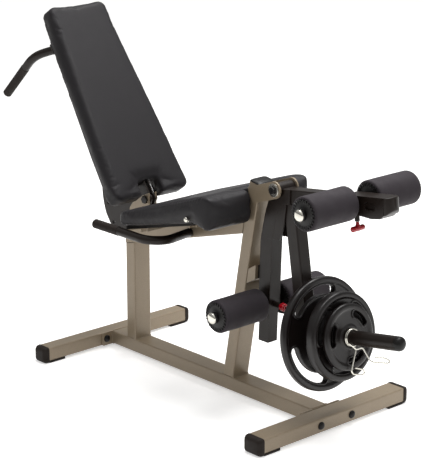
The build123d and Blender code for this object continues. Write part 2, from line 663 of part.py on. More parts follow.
WIRE_R = 2.75
with BuildPart() as spring_collar:
    for s in (215.0, 220.1, 225.2):
        with Locations(horn_face(s)):
            Torus(HORN_R + 0.5 + WIRE_R, WIRE_R)
    for s, path in ((215.0, ((6, -27.5, 0), (-16, -106, -6), (46, -104, -6))),
                    (225.2, ((12, -25.5, 0), (30, -60, 16), (74, -58, 78), (62, -50, 40)))):
        face = horn_face(s)
        with BuildLine():
            Polyline(*[face.from_local_coords(Vector(*p)) for p in path])
        start = face.from_local_coords(Vector(*path[0]))
        nxt = face.from_local_coords(Vector(*path[1]))
        with BuildSketch(Plane(origin=start, z_dir=nxt - start)):
            Circle(WIRE_R)
        sweep(transition=Transition.ROUND)
save("spring_collar", spring_collar.part)

# ------------------------------------------------------------------ carriages, axles and foam rollers
with BuildPart() as curl_sleeve:
    top_rear, top_front = arm_point(-40, 3.4), arm_point(-212, 3.4)
    with BuildSketch(side(-31.8)):
        with BuildLine():
            Polyline(top_rear, top_front, (-213, 798), (-200, 785.5), (-160, 778), (-118, 778.5),
                     (-70, 774), (-37, 773.5), close=True)
        make_face()
    extrude(amount=63.6)
    add(sheet([arm_point(-20, 0.4), arm_point(-230, 0.4), arm_point(-230, -TUBE_H - 0.4),
               arm_point(-20, -TUBE_H - 0.4)], -25.8, 25.8), mode=Mode.SUBTRACT)
    with BuildSketch(side(-40)):
        with Locations(Location(arm_point(-151, -27), -math.degrees(math.atan(ARM_SLOPE)))):
            SlotOverall(48, 26)
    extrude(amount=80, mode=Mode.SUBTRACT)
    add(rod(CURL_AXLE, AXLE_R, 31.8, AXLE_END))
    add(rod(CURL_AXLE, AXLE_R, -AXLE_END, -31.8))
    pin_down = (-arm_up[0], -arm_up[1])
    pin_top = arm_point(-62.0, -TUBE_H - 0.4)
    add(stick((pin_top[0] + pin_down[0] * 4, pin_top[1] + pin_down[1] * 4), pin_down, 8.5, 32))
    add(stick((pin_top[0] - pin_down[0], pin_top[1] - pin_down[1]), pin_down, 4.05, 45), mode=Mode.SUBTRACT)
save("curl_sleeve", curl_sleeve.part)


def down_pin(distance):
    """Side-view point below the arm on the curl pin's line."""
    return (pin_top[0] + pin_down[0] * distance, pin_top[1] + pin_down[1] * distance)


save("curl_pin", stick(down_pin(0.1), pin_down, 4.0, 52))
with BuildPart() as curl_pin_handle:
    with BuildSketch(Plane(origin=at(0, *down_pin(38)), x_dir=(1, 0, 0), z_dir=(0, pin_down[0], pin_down[1]))):
        Circle(7)
    extrude(amount=15, taper=-14)
    add(rod(down_pin(60), 10, -31, 31))
    add(stick(down_pin(0), pin_down, 4.0, 52.1), mode=Mode.SUBTRACT)
save("curl_pin_handle", curl_pin_handle.part)

slider_axle = (shin_mid(SHIN_AXLE_Z), SHIN_AXLE_Z)
HALF_D = SLIDER_D / 2
with BuildPart() as shin_slider:
    add(sheet([(shin_mid(SLIDER_TOP_Z) - HALF_D, SLIDER_TOP_Z), (shin_mid(SLIDER_TOP_Z) + HALF_D, SLIDER_TOP_Z),
               (shin_mid(SLIDER_END_Z) + HALF_D, SLIDER_END_Z), (shin_mid(SLIDER_END_Z) - HALF_D, SLIDER_END_Z)],
              -SLIDER_W / 2, SLIDER_W / 2))
    add(sheet([(shin_mid(640) - HALF_D + 3, 640), (shin_mid(640) + HALF_D - 3, 640),
               (shin_mid(252) + HALF_D - 3, 252), (shin_mid(252) - HALF_D + 3, 252)],
              -SLIDER_W / 2 + 3, SLIDER_W / 2 - 3), mode=Mode.SUBTRACT)
    add(rod(slider_axle, AXLE_R, SLIDER_W / 2 - 1, AXLE_END))
    add(rod(slider_axle, AXLE_R, -AXLE_END, -SLIDER_W / 2 + 1))
    for step in range(5):
        foot_point = off_shin(0)
        rise = step * PIN_STEP
        add(stick((foot_point[0] - shin_out[1] * -rise, foot_point[1] - shin_out[0] * rise),
                  (-shin_out[0], -shin_out[1]), PIN_HOLE_R, 8), mode=Mode.SUBTRACT)
save("shin_slider", shin_slider.part)

save("shin_pin", stick(off_shin(-2.9), shin_out, 4.0, 46))
save("shin_pin_knob", less(joined(stick(off_shin(29), shin_out, 13, 4), stick(off_shin(33), shin_out, 14, 20)),
                           stick(off_shin(0), shin_out, 4.0, 43.1)))


def axle_caps(centre):
    """Domed caps on the two ends of an axle."""
    with BuildPart() as caps:
        with BuildSketch(side(AXLE_END)):
            with Locations(centre):
                Circle(19.5)
        extrude(amount=4)
        with BuildSketch(side(AXLE_END + 4)):
            with Locations(centre):
                Circle(19)
        extrude(amount=7, taper=38)
        mirror(about=Plane.YZ)
    return caps.part


def roller_foam(centre, way):
    """Foam sleeve of one roller."""
    x_from, x_to = (FOAM_IN, FOAM_OUT) if way > 0 else (-FOAM_OUT, -FOAM_IN)
    return rod(centre, FOAM_R, x_from, x_to, bore=FOAM_BORE)


def roller_hub(centre, way):
    """Hub tube and end discs of one roller, free to spin on the axle."""
    low, high = (FOAM_IN - DISC_T, FOAM_OUT + DISC_T)
    pieces = []
    for radius, a, b in ((FOAM_BORE, low, high), (DISC_R, low, FOAM_IN), (DISC_R, FOAM_OUT, high),
                         (BOSS_R, high, BOSS_END)):
        x_from, x_to = (a, b) if way > 0 else (-b, -a)
        pieces.append(rod(centre, radius, x_from, x_to))
    return less(joined(*pieces), rod(centre, AXLE_R + 0.08, -300, 300))


for level, centre in (("curl", CURL_AXLE), ("shin", slider_axle)):
    save(f"{level}_axle_caps", axle_caps(centre))
    for hand, way in (("left", -1), ("right", 1)):
        save(f"{level}_roller_foam_{hand}", roller_foam(centre, way))
        save(f"{level}_roller_hub_{hand}", roller_hub(centre, way))
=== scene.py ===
"""Dressed model of a leg extension and leg curl bench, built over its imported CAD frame."""
import logging
from dataclasses import dataclass, field
from enum import Enum
from math import cos, pi, radians, sin, tau
from typing import Callable, Sequence

import bmesh
import bpy
import numpy as np
from bmesh.types import BMesh, BMVert
from bpy.types import Material, Mesh, Node, NodeSocket, NodeTree, Object
from mathutils import Matrix, Vector, noise


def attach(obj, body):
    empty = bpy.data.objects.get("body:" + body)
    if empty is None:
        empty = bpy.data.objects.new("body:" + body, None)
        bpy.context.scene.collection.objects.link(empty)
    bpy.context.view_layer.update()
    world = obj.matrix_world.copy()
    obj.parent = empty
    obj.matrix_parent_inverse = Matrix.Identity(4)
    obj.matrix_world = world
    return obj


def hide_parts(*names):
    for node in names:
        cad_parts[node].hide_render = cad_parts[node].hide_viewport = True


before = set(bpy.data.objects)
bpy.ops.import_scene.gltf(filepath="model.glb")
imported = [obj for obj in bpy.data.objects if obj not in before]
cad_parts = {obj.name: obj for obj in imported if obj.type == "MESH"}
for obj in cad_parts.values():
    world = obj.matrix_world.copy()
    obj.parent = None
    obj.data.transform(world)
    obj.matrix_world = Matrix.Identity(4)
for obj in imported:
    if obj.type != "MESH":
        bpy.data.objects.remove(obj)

log = logging.getLogger("bench")
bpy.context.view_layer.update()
MM = 0.001
MID = 671.5  # the station, in mm behind the front foot's face, that lies at y = 0
BEND_SHARE = 0.45  # most of a straight run that a round corner may take
RAGGED = 0.55  # how much of each finer step the soft noises keep
UP = Vector((0.0, 0.0, 1.0))
Point = tuple[float, float]
Triple = tuple[float, float, float]
Profile = Sequence[Point]


class Hand(Enum):
    """The two sides of the machine, each with the sign of its x."""

    LEFT = -1
    RIGHT = 1


# ---------------------------------------------------------------- places and directions
def spot(x: float, y: float, z: float) -> Vector:
    """Point of the row frame in metres from a side step, a station and a height in mm."""
    return Vector((x, y - MID, z)) * MM


def frame_of(origin: Vector, axis: Vector, right: Vector = Vector((1.0, 0.0, 0.0))) -> Matrix:
    """Matrix whose z is an axis and whose x is near a chosen direction.

    Args:
        origin: Where the frame stands, in metres.
        axis: Direction of the frame's z.
        right: Direction that the frame's x leans to. It can't be the axis itself.

    Returns:
        The 4 by 4 matrix of the frame.
    """
    z = axis.normalized()
    y = z.cross(right).normalized()
    x = y.cross(z)
    return Matrix.Translation(origin) @ Matrix((x, y, z)).transposed().to_4x4()


def sideways(point: Point, way: int = 1) -> Matrix:
    """Frame at a station and height on the middle plane, with z out to one side and x up."""
    return frame_of(spot(0, *point), Vector((way, 0, 0)), UP)


# ---------------------------------------------------------------- colours and nodes
def linear(code: str) -> tuple[float, float, float, float]:
    """Linear colour with full alpha from an sRGB hex value.

    Args:
        code: The colour as "#rrggbb".

    Returns:
        Red, green, blue and alpha as a shader takes them.
    """
    parts = [int(code[i:i + 2], 16) / 255 for i in (1, 3, 5)]
    red, green, blue = (c / 12.92 if c <= 0.04045 else ((c + 0.055) / 1.055) ** 2.4
                        for c in parts)
    return red, green, blue, 1.0


def add_node(tree: NodeTree, kind: str, feeds: dict | None = None, **settings) -> Node:
    """Add one node, with its settings, values and links.

    Args:
        tree: The node tree that takes the node.
        kind: Blender's name for the node type, without "ShaderNode".
        feeds: Input names or numbers, each with a value or with an output socket to link.
        **settings: Properties of the node itself.

    Returns:
        The new node.
    """
    node = tree.nodes.new("ShaderNode" + kind)
    for key, value in settings.items():
        setattr(node, key, value)
    for key, value in (feeds or {}).items():
        if isinstance(value, NodeSocket):
            tree.links.new(value, node.inputs[key])
        else:
            node.inputs[key].default_value = value
    return node


def per_metre(size_mm: float) -> float:
    """Scale of a pattern whose cells are this many mm wide."""
    return 1 / (size_mm * MM)


# ---------------------------------------------------------------- finishes
@dataclass(frozen=True)
class Finish:
    """A surface: its colour, its shine and the fine form that its making leaves."""

    name: str
    colour: str
    roughness: float
    metallic: float = 0.0
    ior: float = 1.5
    sheen: float = 0.0
    coat: float = 0.0
    specular: float = 0.5
    round_mm: float = 0.9  # how far hard edges look rounded
    grain_mm: float = 1.5  # size of the fine form
    relief_mm: float = 0.03  # depth of the fine form
    drift: float = 0.10  # slow change of tone over the surface
    patch_mm: float = 90.0  # size of the patches of that change
    marks_mm: float = 35.0  # size of handling marks

    def material(self) -> Material:
        """Make the finish's material on first use.

        Returns:
            The material, the same one for every piece with this finish.
        """
        made = bpy.data.materials.get(self.name)
        if made is not None:
            return made
        made = bpy.data.materials.new(self.name)
        made.use_nodes = True
        tree = made.node_tree
        tree.nodes.clear()
        where = add_node(tree, "TexCoord").outputs["Object"]
        edges = add_node(tree, "Bevel", {"Radius": self.round_mm * MM}, samples=4).outputs[0]
        bump = add_node(tree, "Bump", {"Distance": self.relief_mm * MM,
                                       "Height": self.form(tree, where), "Normal": edges})
        shader = add_node(tree, "BsdfPrincipled", {
            "Base Color": self.tone(tree, where), "Roughness": self.shine(tree, where),
            "Metallic": self.metallic, "IOR": self.ior, "Coat Weight": self.coat,
            "Sheen Weight": self.sheen, "Specular IOR Level": self.specular,
            "Normal": bump.outputs[0]})
        add_node(tree, "OutputMaterial", {"Surface": shader.outputs[0]})
        return made

    def tint(self, tree: NodeTree, where: NodeSocket) -> NodeSocket:
        """Drift of the colour between a darker and a lighter tone.

        Args:
            tree: The material's nodes.
            where: The place on the piece.

        Returns:
            The colour.
        """
        factor, base = 1 + self.drift, linear(self.colour)[:3]
        light = (*(min(1.0, c * factor) for c in base), 1.0)
        dark = (*(c / factor for c in base), 1.0)
        patches = add_node(tree, "TexNoise", {"Vector": where, "Scale": per_metre(self.patch_mm),
                                              "Detail": 3.0, "Roughness": RAGGED}).outputs[0]
        return add_node(tree, "Mix", {0: patches, 6: dark, 7: light}, data_type="RGBA").outputs[2]

    def tone(self, tree: NodeTree, where: NodeSocket) -> NodeSocket:
        """Colour over the surface."""
        return self.tint(tree, where)

    def shine(self, tree: NodeTree, where: NodeSocket) -> NodeSocket:
        """Roughness over the surface, with handling marks.

        Args:
            tree: The material's nodes.
            where: The place on the piece.

        Returns:
            The roughness.
        """
        marks = add_node(tree, "TexNoise", {"Vector": where, "Scale": per_metre(self.marks_mm),
                                            "Detail": 5.0, "Roughness": RAGGED}).outputs[0]
        return add_node(tree, "MapRange", {
            "Value": marks, "From Min": 0.3, "From Max": 0.7, "To Min": self.roughness * 0.88,
            "To Max": min(1.0, self.roughness * 1.14)}).outputs[0]

    def form(self, tree: NodeTree, where: NodeSocket) -> NodeSocket:
        """Height of the fine form: a soft, even grain."""
        return add_node(tree, "TexNoise", {"Vector": where, "Scale": per_metre(self.grain_mm),
                                           "Detail": 2.0, "Roughness": RAGGED}).outputs[0]


@dataclass(frozen=True)
class PowderCoat(Finish):
    """Baked powder coat on steel. The eye sees faint orange peel, fine flake and rubbed edges."""

    patch_mm: float = 120.0
    flake: float = 0.0
    flake_mm: float = 1.1  # the real flakes are finer
    edge_lift: float = 1.25  # how much lighter a fully rubbed edge is
    edge_mm: float = 2.2
    rub_mm: float = 14.0

    def tone(self, tree: NodeTree, where: NodeSocket) -> NodeSocket:
        """Drift, with flakes and with lighter, patchily rubbed edges.

        Args:
            tree: The material's nodes.
            where: The place on the piece.

        Returns:
            The colour.
        """
        cells = add_node(tree, "TexVoronoi", {"Vector": where,
                                              "Scale": per_metre(self.flake_mm)})
        speck = add_node(tree, "SeparateColor", {0: cells.outputs["Color"]}).outputs[0]
        gain = add_node(tree, "MapRange", {"Value": speck, "To Min": 1 - self.flake,
                                           "To Max": 1 + self.flake}).outputs[0]
        flaked = add_node(tree, "VectorMath", {0: self.tint(tree, where), 1: gain},
                          operation="MULTIPLY").outputs[0]
        soft = add_node(tree, "Bevel", {"Radius": self.edge_mm * MM}, samples=4).outputs[0]
        hard = add_node(tree, "NewGeometry").outputs["Normal"]
        flat = add_node(tree, "VectorMath", {0: soft, 1: hard}, operation="DOT_PRODUCT")
        edge = add_node(tree, "MapRange", {
            "Value": flat.outputs["Value"], "From Min": 0.75, "From Max": 0.99, "To Min": 1.0,
            "To Max": 0.0}).outputs[0]
        patchy = add_node(tree, "TexNoise", {"Vector": where, "Scale": per_metre(self.rub_mm),
                                             "Detail": 3.0, "Roughness": RAGGED}).outputs[0]
        rub = add_node(tree, "Math", {0: edge, 1: patchy}, operation="MULTIPLY").outputs[0]
        lift = add_node(tree, "MapRange", {"Value": rub, "To Min": 1.0,
                                           "To Max": self.edge_lift}).outputs[0]
        return add_node(tree, "VectorMath", {0: flaked, 1: lift},
                        operation="MULTIPLY").outputs[0]


@dataclass(frozen=True)
class Vinyl(Finish):
    """Expanded PVC upholstery, embossed with a leather grain and stretched over foam."""

    stray_mm: float = 1.2  # how far the grain strays from an even net

    def form(self, tree: NodeTree, where: NodeSocket) -> NodeSocket:
        """Grain cells parted by fine valleys, with slow unevenness of the stretched skin.

        Args:
            tree: The material's nodes.
            where: The place on the piece.

        Returns:
            The height.
        """
        stray, fine = (add_node(tree, "TexNoise", {
            "Vector": where, "Scale": per_metre(self.grain_mm * share), "Detail": 3.0,
            "Roughness": RAGGED}).outputs[0] for share in (2.5, 0.5))
        shift = add_node(tree, "VectorMath", {0: stray, 1: (self.stray_mm * MM,) * 3},
                         operation="MULTIPLY").outputs[0]
        moved = add_node(tree, "VectorMath", {0: where, 1: shift}).outputs[0]
        cells = add_node(tree, "TexVoronoi", {"Vector": moved, "Scale": per_metre(self.grain_mm)},
                         feature="DISTANCE_TO_EDGE").outputs[0]
        valley = add_node(tree, "MapRange", {"Value": cells, "From Max": 0.22}).outputs[0]
        return add_node(tree, "Math", {0: fine, 1: 0.5, 2: valley},
                        operation="MULTIPLY_ADD").outputs[0]


@dataclass(frozen=True)
class FoamSkin(Finish):
    """Closed-cell rubber foam with its moulded skin. The eye sees a dull surface of tiny pores."""

    wave_mm: float = 18.0

    def form(self, tree: NodeTree, where: NodeSocket) -> NodeSocket:
        """Pores about a millimetre wide, larger than the real ones so that they show.

        Args:
            tree: The material's nodes.
            where: The place on the piece.

        Returns:
            The height.
        """
        cells = add_node(tree, "TexVoronoi", {"Vector": where, "Scale": per_metre(self.grain_mm)},
                         feature="SMOOTH_F1").outputs[0]
        waves = add_node(tree, "TexNoise", {"Vector": where, "Scale": per_metre(self.wave_mm),
                                            "Detail": 3.0, "Roughness": RAGGED}).outputs[0]
        return add_node(tree, "Math", {0: waves, 1: 2.5, 2: cells},
                        operation="MULTIPLY_ADD").outputs[0]


@dataclass(frozen=True)
class Streaked(Finish):
    """Surface drawn out one way: the long grain of a board, or fine rings on a turned bar."""

    streak_mm: Triple = (2.0, 62.5, 62.5)  # size of a streak along each axis
    detail: float = 4.0

    def form(self, tree: NodeTree, where: NodeSocket) -> NodeSocket:
        """Noise squeezed by another factor on each axis.

        Args:
            tree: The material's nodes.
            where: The place on the piece.

        Returns:
            The height.
        """
        scale = tuple(per_metre(size) for size in self.streak_mm)
        drawn = add_node(tree, "Mapping", {"Vector": where, "Scale": scale}).outputs[0]
        return add_node(tree, "TexNoise", {"Vector": drawn, "Scale": 1.0,
                                           "Detail": self.detail}).outputs[0]


# Powder baked on steel: a satin champagne tone with fine flake, paler where edges rub.
SILVER = PowderCoat("champagne_silver_powder_coat", "#948570", 0.34, metallic=0.16, flake=0.10,
                    grain_mm=2.4, drift=0.04, edge_lift=1.2)
# The same coat in black: a broad satin highlight, and edges that are rubbed grey.
BLACK = PowderCoat("satin_black_powder_coat", "#1e1713", 0.34, flake=0.03, specular=0.25,
                   grain_mm=2.0, drift=0.06, edge_lift=2.6)
# Steel polished and plated: a clear mirror that hardly wavers.
CHROME = Finish("chrome_plate", "#d9d6cc", 0.09, metallic=1.0, relief_mm=0.004, drift=0.02)
# Steel blackened in a hot bath: dark, with the soft gleam of oiled metal.
BLACK_OXIDE = Finish("black_oxide_steel", "#1c1a19", 0.36, metallic=0.6, relief_mm=0.01)
# Steel turned and left bright: fine rings that draw each highlight out along the bar.
TURNED_STEEL = Streaked("turned_bright_steel", "#b9b6ae", 0.26, metallic=1.0, relief_mm=0.008,
                        streak_mm=(0.5, 100 / 3, 100 / 3), detail=2.0)
# Embossed PVC: black, with a muted sheen that the leather grain breaks up.
VINYL = Vinyl("black_grained_vinyl", "#252325", 0.46, grain_mm=1.7, relief_mm=0.09, round_mm=0.2,
              drift=0.05, specular=0.20)
# Moulded foam: greyish black and matt, with no highlight of its own.
FOAM = FoamSkin("closed_cell_foam", "#363135", 0.70, grain_mm=1.2, relief_mm=0.10, round_mm=0.2,
                drift=0.07, sheen=0.03, specular=0.20)
# Plywood stained black: matt, with the veneer's long streaks.
PLY = Streaked("black_stained_plywood", "#1b1816", 0.7, relief_mm=0.10, specular=0.2)
# ABS from a smooth mould: deep, even black with a soft shine.
ABS = Finish("moulded_black_abs", "#0c0a09", 0.36, grain_mm=0.9, relief_mm=0.02, specular=0.30)
# Rubber from a mould: warm, dull black.
RUBBER = Finish("moulded_black_rubber", "#211a16", 0.62, relief_mm=0.05, grain_mm=1.4,
                specular=0.22)
# Plastic from a polished mould: clear red with sharp highlights.
RED = Finish("gloss_red_plastic", "#b0101f", 0.20, grain_mm=6.0, relief_mm=0.02, coat=0.3,
             drift=0.06)
# Cast iron dipped in rubber: deep black, and a highlight that the casting makes uneven.
COATED_IRON = Finish("rubber_coated_iron", "#140f0e", 0.31, grain_mm=3.0, relief_mm=0.08,
                     specular=0.40)


# ---------------------------------------------------------------- mesh helpers
def new_object(name: str, build: BMesh) -> Object:
    """Turn a finished bmesh into an object of the scene with outward normals.

    Args:
        name: Name of the object.
        build: The bmesh, which is freed.

    Returns:
        The new object.
    """
    bmesh.ops.recalc_face_normals(build, faces=build.faces)
    mesh = bpy.data.meshes.new(name)
    build.to_mesh(mesh)
    build.free()
    obj = bpy.data.objects.new(name, mesh)
    bpy.context.scene.collection.objects.link(obj)
    return obj


def apply_modifiers(obj: Object) -> None:
    """Replace an object's mesh by the one that its modifiers give.

    Args:
        obj: The object, changed in place.
    """
    graph = bpy.context.evaluated_depsgraph_get()
    baked = bpy.data.meshes.new_from_object(obj.evaluated_get(graph))
    obj.modifiers.clear()
    obj.data = baked


def fit(obj: Object, finish: Finish, body: str, slot: str, *stands_for: str,
        angle: float = 35.0) -> Object:
    """Dress a new piece, set it on its body and hide the CAD nodes that it replaces.

    Args:
        obj: The piece, already in place in the row frame.
        finish: Its surface.
        body: The CAD body that it rides on.
        slot: Not used.
        *stands_for: CAD nodes that it replaces.
        angle: Edges sharper than this many degrees stay sharp.

    Returns:
        The piece.
    """
    obj.data.materials.clear()
    obj.data.materials.append(finish.material())
    obj.data.shade_smooth()
    obj.data.set_sharp_from_angle(angle=radians(angle))
    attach(obj, body)
    if stands_for:
        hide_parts(*stands_for)
    log.info("piece %s: %d faces", obj.name, len(obj.data.polygons))
    return obj


def skin(build: BMesh, rows: Sequence[Sequence[BMVert]], loop: bool = False,
         capped: bool = False) -> None:
    """Join each closed row of points to the next. A row of one point is a pole.

    Args:
        build: The bmesh that takes the faces.
        rows: The rows in order.
        loop: Joins the last row to the first as well.
        capped: Closes the first and the last row with a face.
    """
    for low, high in list(zip(rows, rows[1:])) + ([(rows[-1], rows[0])] if loop else []):
        for i in range(max(len(low), len(high))):
            j = i + 1
            corners = (low[i % len(low)], low[j % len(low)], high[j % len(high)],
                       high[i % len(high)])
            build.faces.new(tuple(dict.fromkeys(corners)))
    if capped:
        build.faces.new(list(reversed(rows[0])))
        build.faces.new(rows[-1])


def loft(build: BMesh, rings: Sequence[Sequence[Vector]]) -> None:
    """Skin a row of rings that have as many points each, and close both ends."""
    skin(build, [[build.verts.new(p) for p in ring] for ring in rings], capped=True)


def lathe(build: BMesh, profile: Profile, place: Matrix, steps: int = 48,
          shape: Callable[[float, float, float], float] | None = None,
          ring: bool = False) -> None:
    """Turn a profile round the z axis of a frame and add it to a bmesh.

    Args:
        build: The bmesh that takes the faces.
        profile: Points of along and radius in mm. A radius of 0 makes a pole.
        place: The frame, in metres.
        steps: Number of divisions round the axis.
        shape: Gives the radius from angle, along and radius.
        ring: Joins the last point to the first, for a piece with a bore.
    """
    turns = [tau * i / steps for i in range(steps)]
    rows = []
    for along, radius in profile:
        row = []
        for turn in turns if radius > 0 else turns[:1]:
            r = shape(turn, along, radius) if shape and radius > 0 else radius
            p = Vector((r * cos(turn), r * sin(turn), along)) * MM
            row.append(build.verts.new(place @ p))
        rows.append(row)
    skin(build, rows, ring)


def bend(back: Vector, here: Vector, ahead: Vector, size: float, steps: int) -> list[Vector]:
    """Round off the corner between two straight runs.

    Args:
        back: The point before the corner.
        here: The corner.
        ahead: The point after it.
        size: Most that the arc takes of each run.
        steps: Points of the arc, less one.

    Returns:
        The points of the arc.
    """
    runs = [p - here for p in (back, ahead)]
    reach = min(size, *(run.length * BEND_SHARE for run in runs))
    start, end = (here + run.normalized() * reach for run in runs)
    return [start * (1 - t) ** 2 + here * 2 * t * (1 - t) + end * t * t
            for t in (k / steps for k in range(steps + 1))]


def rounded(profile: Profile, radius: float, closed: bool = False, steps: int = 4) -> list[Point]:
    """Round the corners of an outline.

    Args:
        profile: The corner points.
        radius: Largest size of a corner.
        closed: True where the last point joins the first.
        steps: Points per corner, less one.

    Returns:
        The outline with each inner corner as a short arc.
    """
    count = len(profile)
    out: list[Point] = []
    for i, point in enumerate(profile):
        if closed or 0 < i < count - 1:
            near = (Vector(profile[(i + k) % count]) for k in (-1, 0, 1))
            out += [(p.x, p.y) for p in bend(*near, radius, steps)]
        else:
            out.append(point)
    return out


def eased(points: Sequence[Vector], size_mm: float, steps: int = 6) -> list[Vector]:
    """Path of a bent wire: straight runs with round bends.

    Args:
        points: Ends and corners of the path, in metres.
        size_mm: Size of a bend.
        steps: Points per bend, less one.

    Returns:
        The path.
    """
    out = [points[0]]
    for corner in zip(points, points[1:], points[2:]):
        out += bend(*corner, size_mm * MM, steps)
    return out + [points[-1]]


def tube(build: BMesh, path: Sequence[Vector], radius_mm: float, steps: int = 10,
         swell: Callable[[float], float] | None = None, closed: bool = False) -> None:
    """Add a round tube along a path.

    Args:
        build: The bmesh that takes the faces.
        path: Centre points in metres.
        radius_mm: Radius of the tube.
        steps: Divisions round it.
        swell: Factor on the radius at a length along the path in mm.
        closed: True for a loop.
    """
    count = len(path)
    rows, across, gone = [], None, 0.0
    for i, p in enumerate(path):
        before = path[i - 1] if (i or closed) else p
        after = path[(i + 1) % count] if (i < count - 1 or closed) else p
        run = (after - before).normalized()
        if across is None:
            across = run.orthogonal().normalized()
        across = (across - run * across.dot(run)).normalized()
        up = run.cross(across)
        if i:
            gone += (p - path[i - 1]).length / MM
        r = radius_mm * (swell(gone) if swell else 1.0) * MM
        rows.append([build.verts.new(p + (across * cos(a) + up * sin(a)) * r)
                     for a in (tau * k / steps for k in range(steps))])
    skin(build, rows, closed, not closed)


def box_ring(place: Matrix, half_x: float, half_y: float, corner: float, level: float = 0.0,
             steps: int = 5) -> list[Vector]:
    """Rounded rectangle across a frame's z axis.

    Args:
        place: The frame, in metres.
        half_x: Half size along the frame's x in mm.
        half_y: Half size along the frame's y in mm.
        corner: Corner radius in mm.
        level: Distance along the frame's z in mm.
        steps: Points per corner, less one.

    Returns:
        The points of the ring, in metres.
    """
    out = []
    corner = min(corner, half_x, half_y)
    for k, (sx, sy) in enumerate(((1, 1), (-1, 1), (-1, -1), (1, -1))):
        for turn in (pi / 2 * (k + i / steps) for i in range(steps + 1)):
            out.append(place @ (Vector((sx * (half_x - corner) + corner * cos(turn),
                                        sy * (half_y - corner) + corner * sin(turn), level)) * MM))
    return out


def dome(level: float, rise: float, radius: float, turns: Sequence[float],
         power: float = 1.0) -> list[Point]:
    """Profile of a dome at the given degrees up from its rim."""
    return [(level + rise * sin(radians(d)), radius * cos(radians(d)) ** power) for d in turns]


def flat_points(place: Matrix, outline: Profile) -> list[Vector]:
    """Outline in mm across a frame's z axis, as points in metres."""
    return [place @ (Vector((x, y, 0)) * MM) for x, y in outline]


# ---------------------------------------------------------------- soft pads
@dataclass
class Pad:
    """Vinyl cushion over foam, blown up from its CAD solid by a cloth simulation."""

    name: str
    node: str
    body: str
    bed: Matrix  # frame on the board's face: x across, y along the pad, z into the foam
    hold_half: float  # half width of the part that is glued to the board
    hold_from: float
    hold_to: float
    hold_deep: float = 5.0  # how far into the foam the glue holds
    voxel_mm: float = 5.0
    soften: int = 10
    soft_factor: float = 0.6
    pressure: float = 4.0
    steps: int = 20  # the swelling is stopped here, before it settles
    cap_mm: float = 7.0  # no point swells further than this
    shrink_mm: float = 1.5
    fill: float = 0.9

    def glued(self, points: np.ndarray) -> np.ndarray:
        """Mark the points that are glued to the board.

        Args:
            points: One point per row, in metres.

        Returns:
            True or False for each point.
        """
        turn = np.array(self.bed.to_3x3())
        here = (points - np.array(self.bed.translation)) @ turn / MM
        return ((here[:, 2] < self.hold_deep) & (np.abs(here[:, 0]) < self.hold_half)
                & (here[:, 1] > self.hold_from) & (here[:, 1] < self.hold_to))

    @staticmethod
    def points(mesh: Mesh) -> np.ndarray:
        """Read where a mesh's vertices are.

        Args:
            mesh: The mesh.

        Returns:
            One point per row, in metres.
        """
        flat = np.empty(len(mesh.vertices) * 3, np.float32)
        mesh.vertices.foreach_get("co", flat)
        return flat.reshape(-1, 3).astype(float)

    @staticmethod
    def group(pad: Object, name: str, members: np.ndarray) -> str:
        """Put the marked vertices of a pad in a new group.

        Args:
            pad: The pad.
            name: Name of the group.
            members: True or False for each vertex.

        Returns:
            The name of the group.
        """
        group = pad.vertex_groups.new(name=name)
        group.add([int(i) for i in np.flatnonzero(members)], 1.0, "REPLACE")
        return name

    def remeshed(self) -> Object:
        """Make the even net of small faces, with softened edges, that is blown up.

        Returns:
            The pad at its CAD size less the shrink.
        """
        pad = bpy.data.objects.new(self.name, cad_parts[self.node].data.copy())
        bpy.context.scene.collection.objects.link(pad)
        net = pad.modifiers.new("net", "REMESH")
        net.mode = "VOXEL"
        net.voxel_size = self.voxel_mm * MM
        apply_modifiers(pad)
        smooth = pad.modifiers.new("soft", "SMOOTH")
        smooth.iterations = self.soften
        smooth.factor = self.soft_factor
        smooth.vertex_group = self.group(pad, "free", ~self.glued(self.points(pad.data)))
        apply_modifiers(pad)
        normals = np.array([v.normal for v in pad.data.vertices], float)
        here = self.points(pad.data)
        here -= normals * (~self.glued(here))[:, None] * self.shrink_mm * MM
        pad.data.vertices.foreach_set("co", here.astype(np.float32).ravel())
        return pad

    def blow(self, pad: Object) -> None:
        """Let air pressure crown the pad, and hold each point within the cap.

        Args:
            pad: The remeshed pad, changed in place.
        """
        rest = self.points(pad.data)
        held = self.group(pad, "held", self.glued(rest))
        cloth = pad.modifiers.new("air", "CLOTH")
        cloth.settings.vertex_group_mass = held
        cloth.settings.use_pressure = True
        cloth.settings.uniform_pressure_force = self.pressure
        cloth.settings.effector_weights.gravity = 0.0
        cloth.point_cache.frame_end = self.steps
        scene = bpy.context.scene
        for step in range(1, self.steps + 1):
            scene.frame_set(step)
        graph = bpy.context.evaluated_depsgraph_get()
        blown = self.points(pad.evaluated_get(graph).data)
        pad.modifiers.remove(cloth)
        scene.frame_set(1)
        move = blown - rest
        size = np.maximum(np.linalg.norm(move, axis=1, keepdims=True), 1e-9)
        cap = self.cap_mm * MM
        move *= cap * np.tanh(size / cap) / size
        pad.data.vertices.foreach_set("co", (rest + move).astype(np.float32).ravel())
        log.info("%s swells up to %.1f mm", self.name, float(size.max()) / MM)

    def build(self) -> None:
        """Make the cushion and put it in place of its CAD solid."""
        pad = self.remeshed()
        self.blow(pad)
        finer = pad.modifiers.new("finer", "SUBSURF")
        finer.levels = finer.render_levels = 1
        apply_modifiers(pad)
        pad.vertex_groups.clear()
        fit(pad, VINYL, self.body, "upholstery", self.node, angle=180.0)


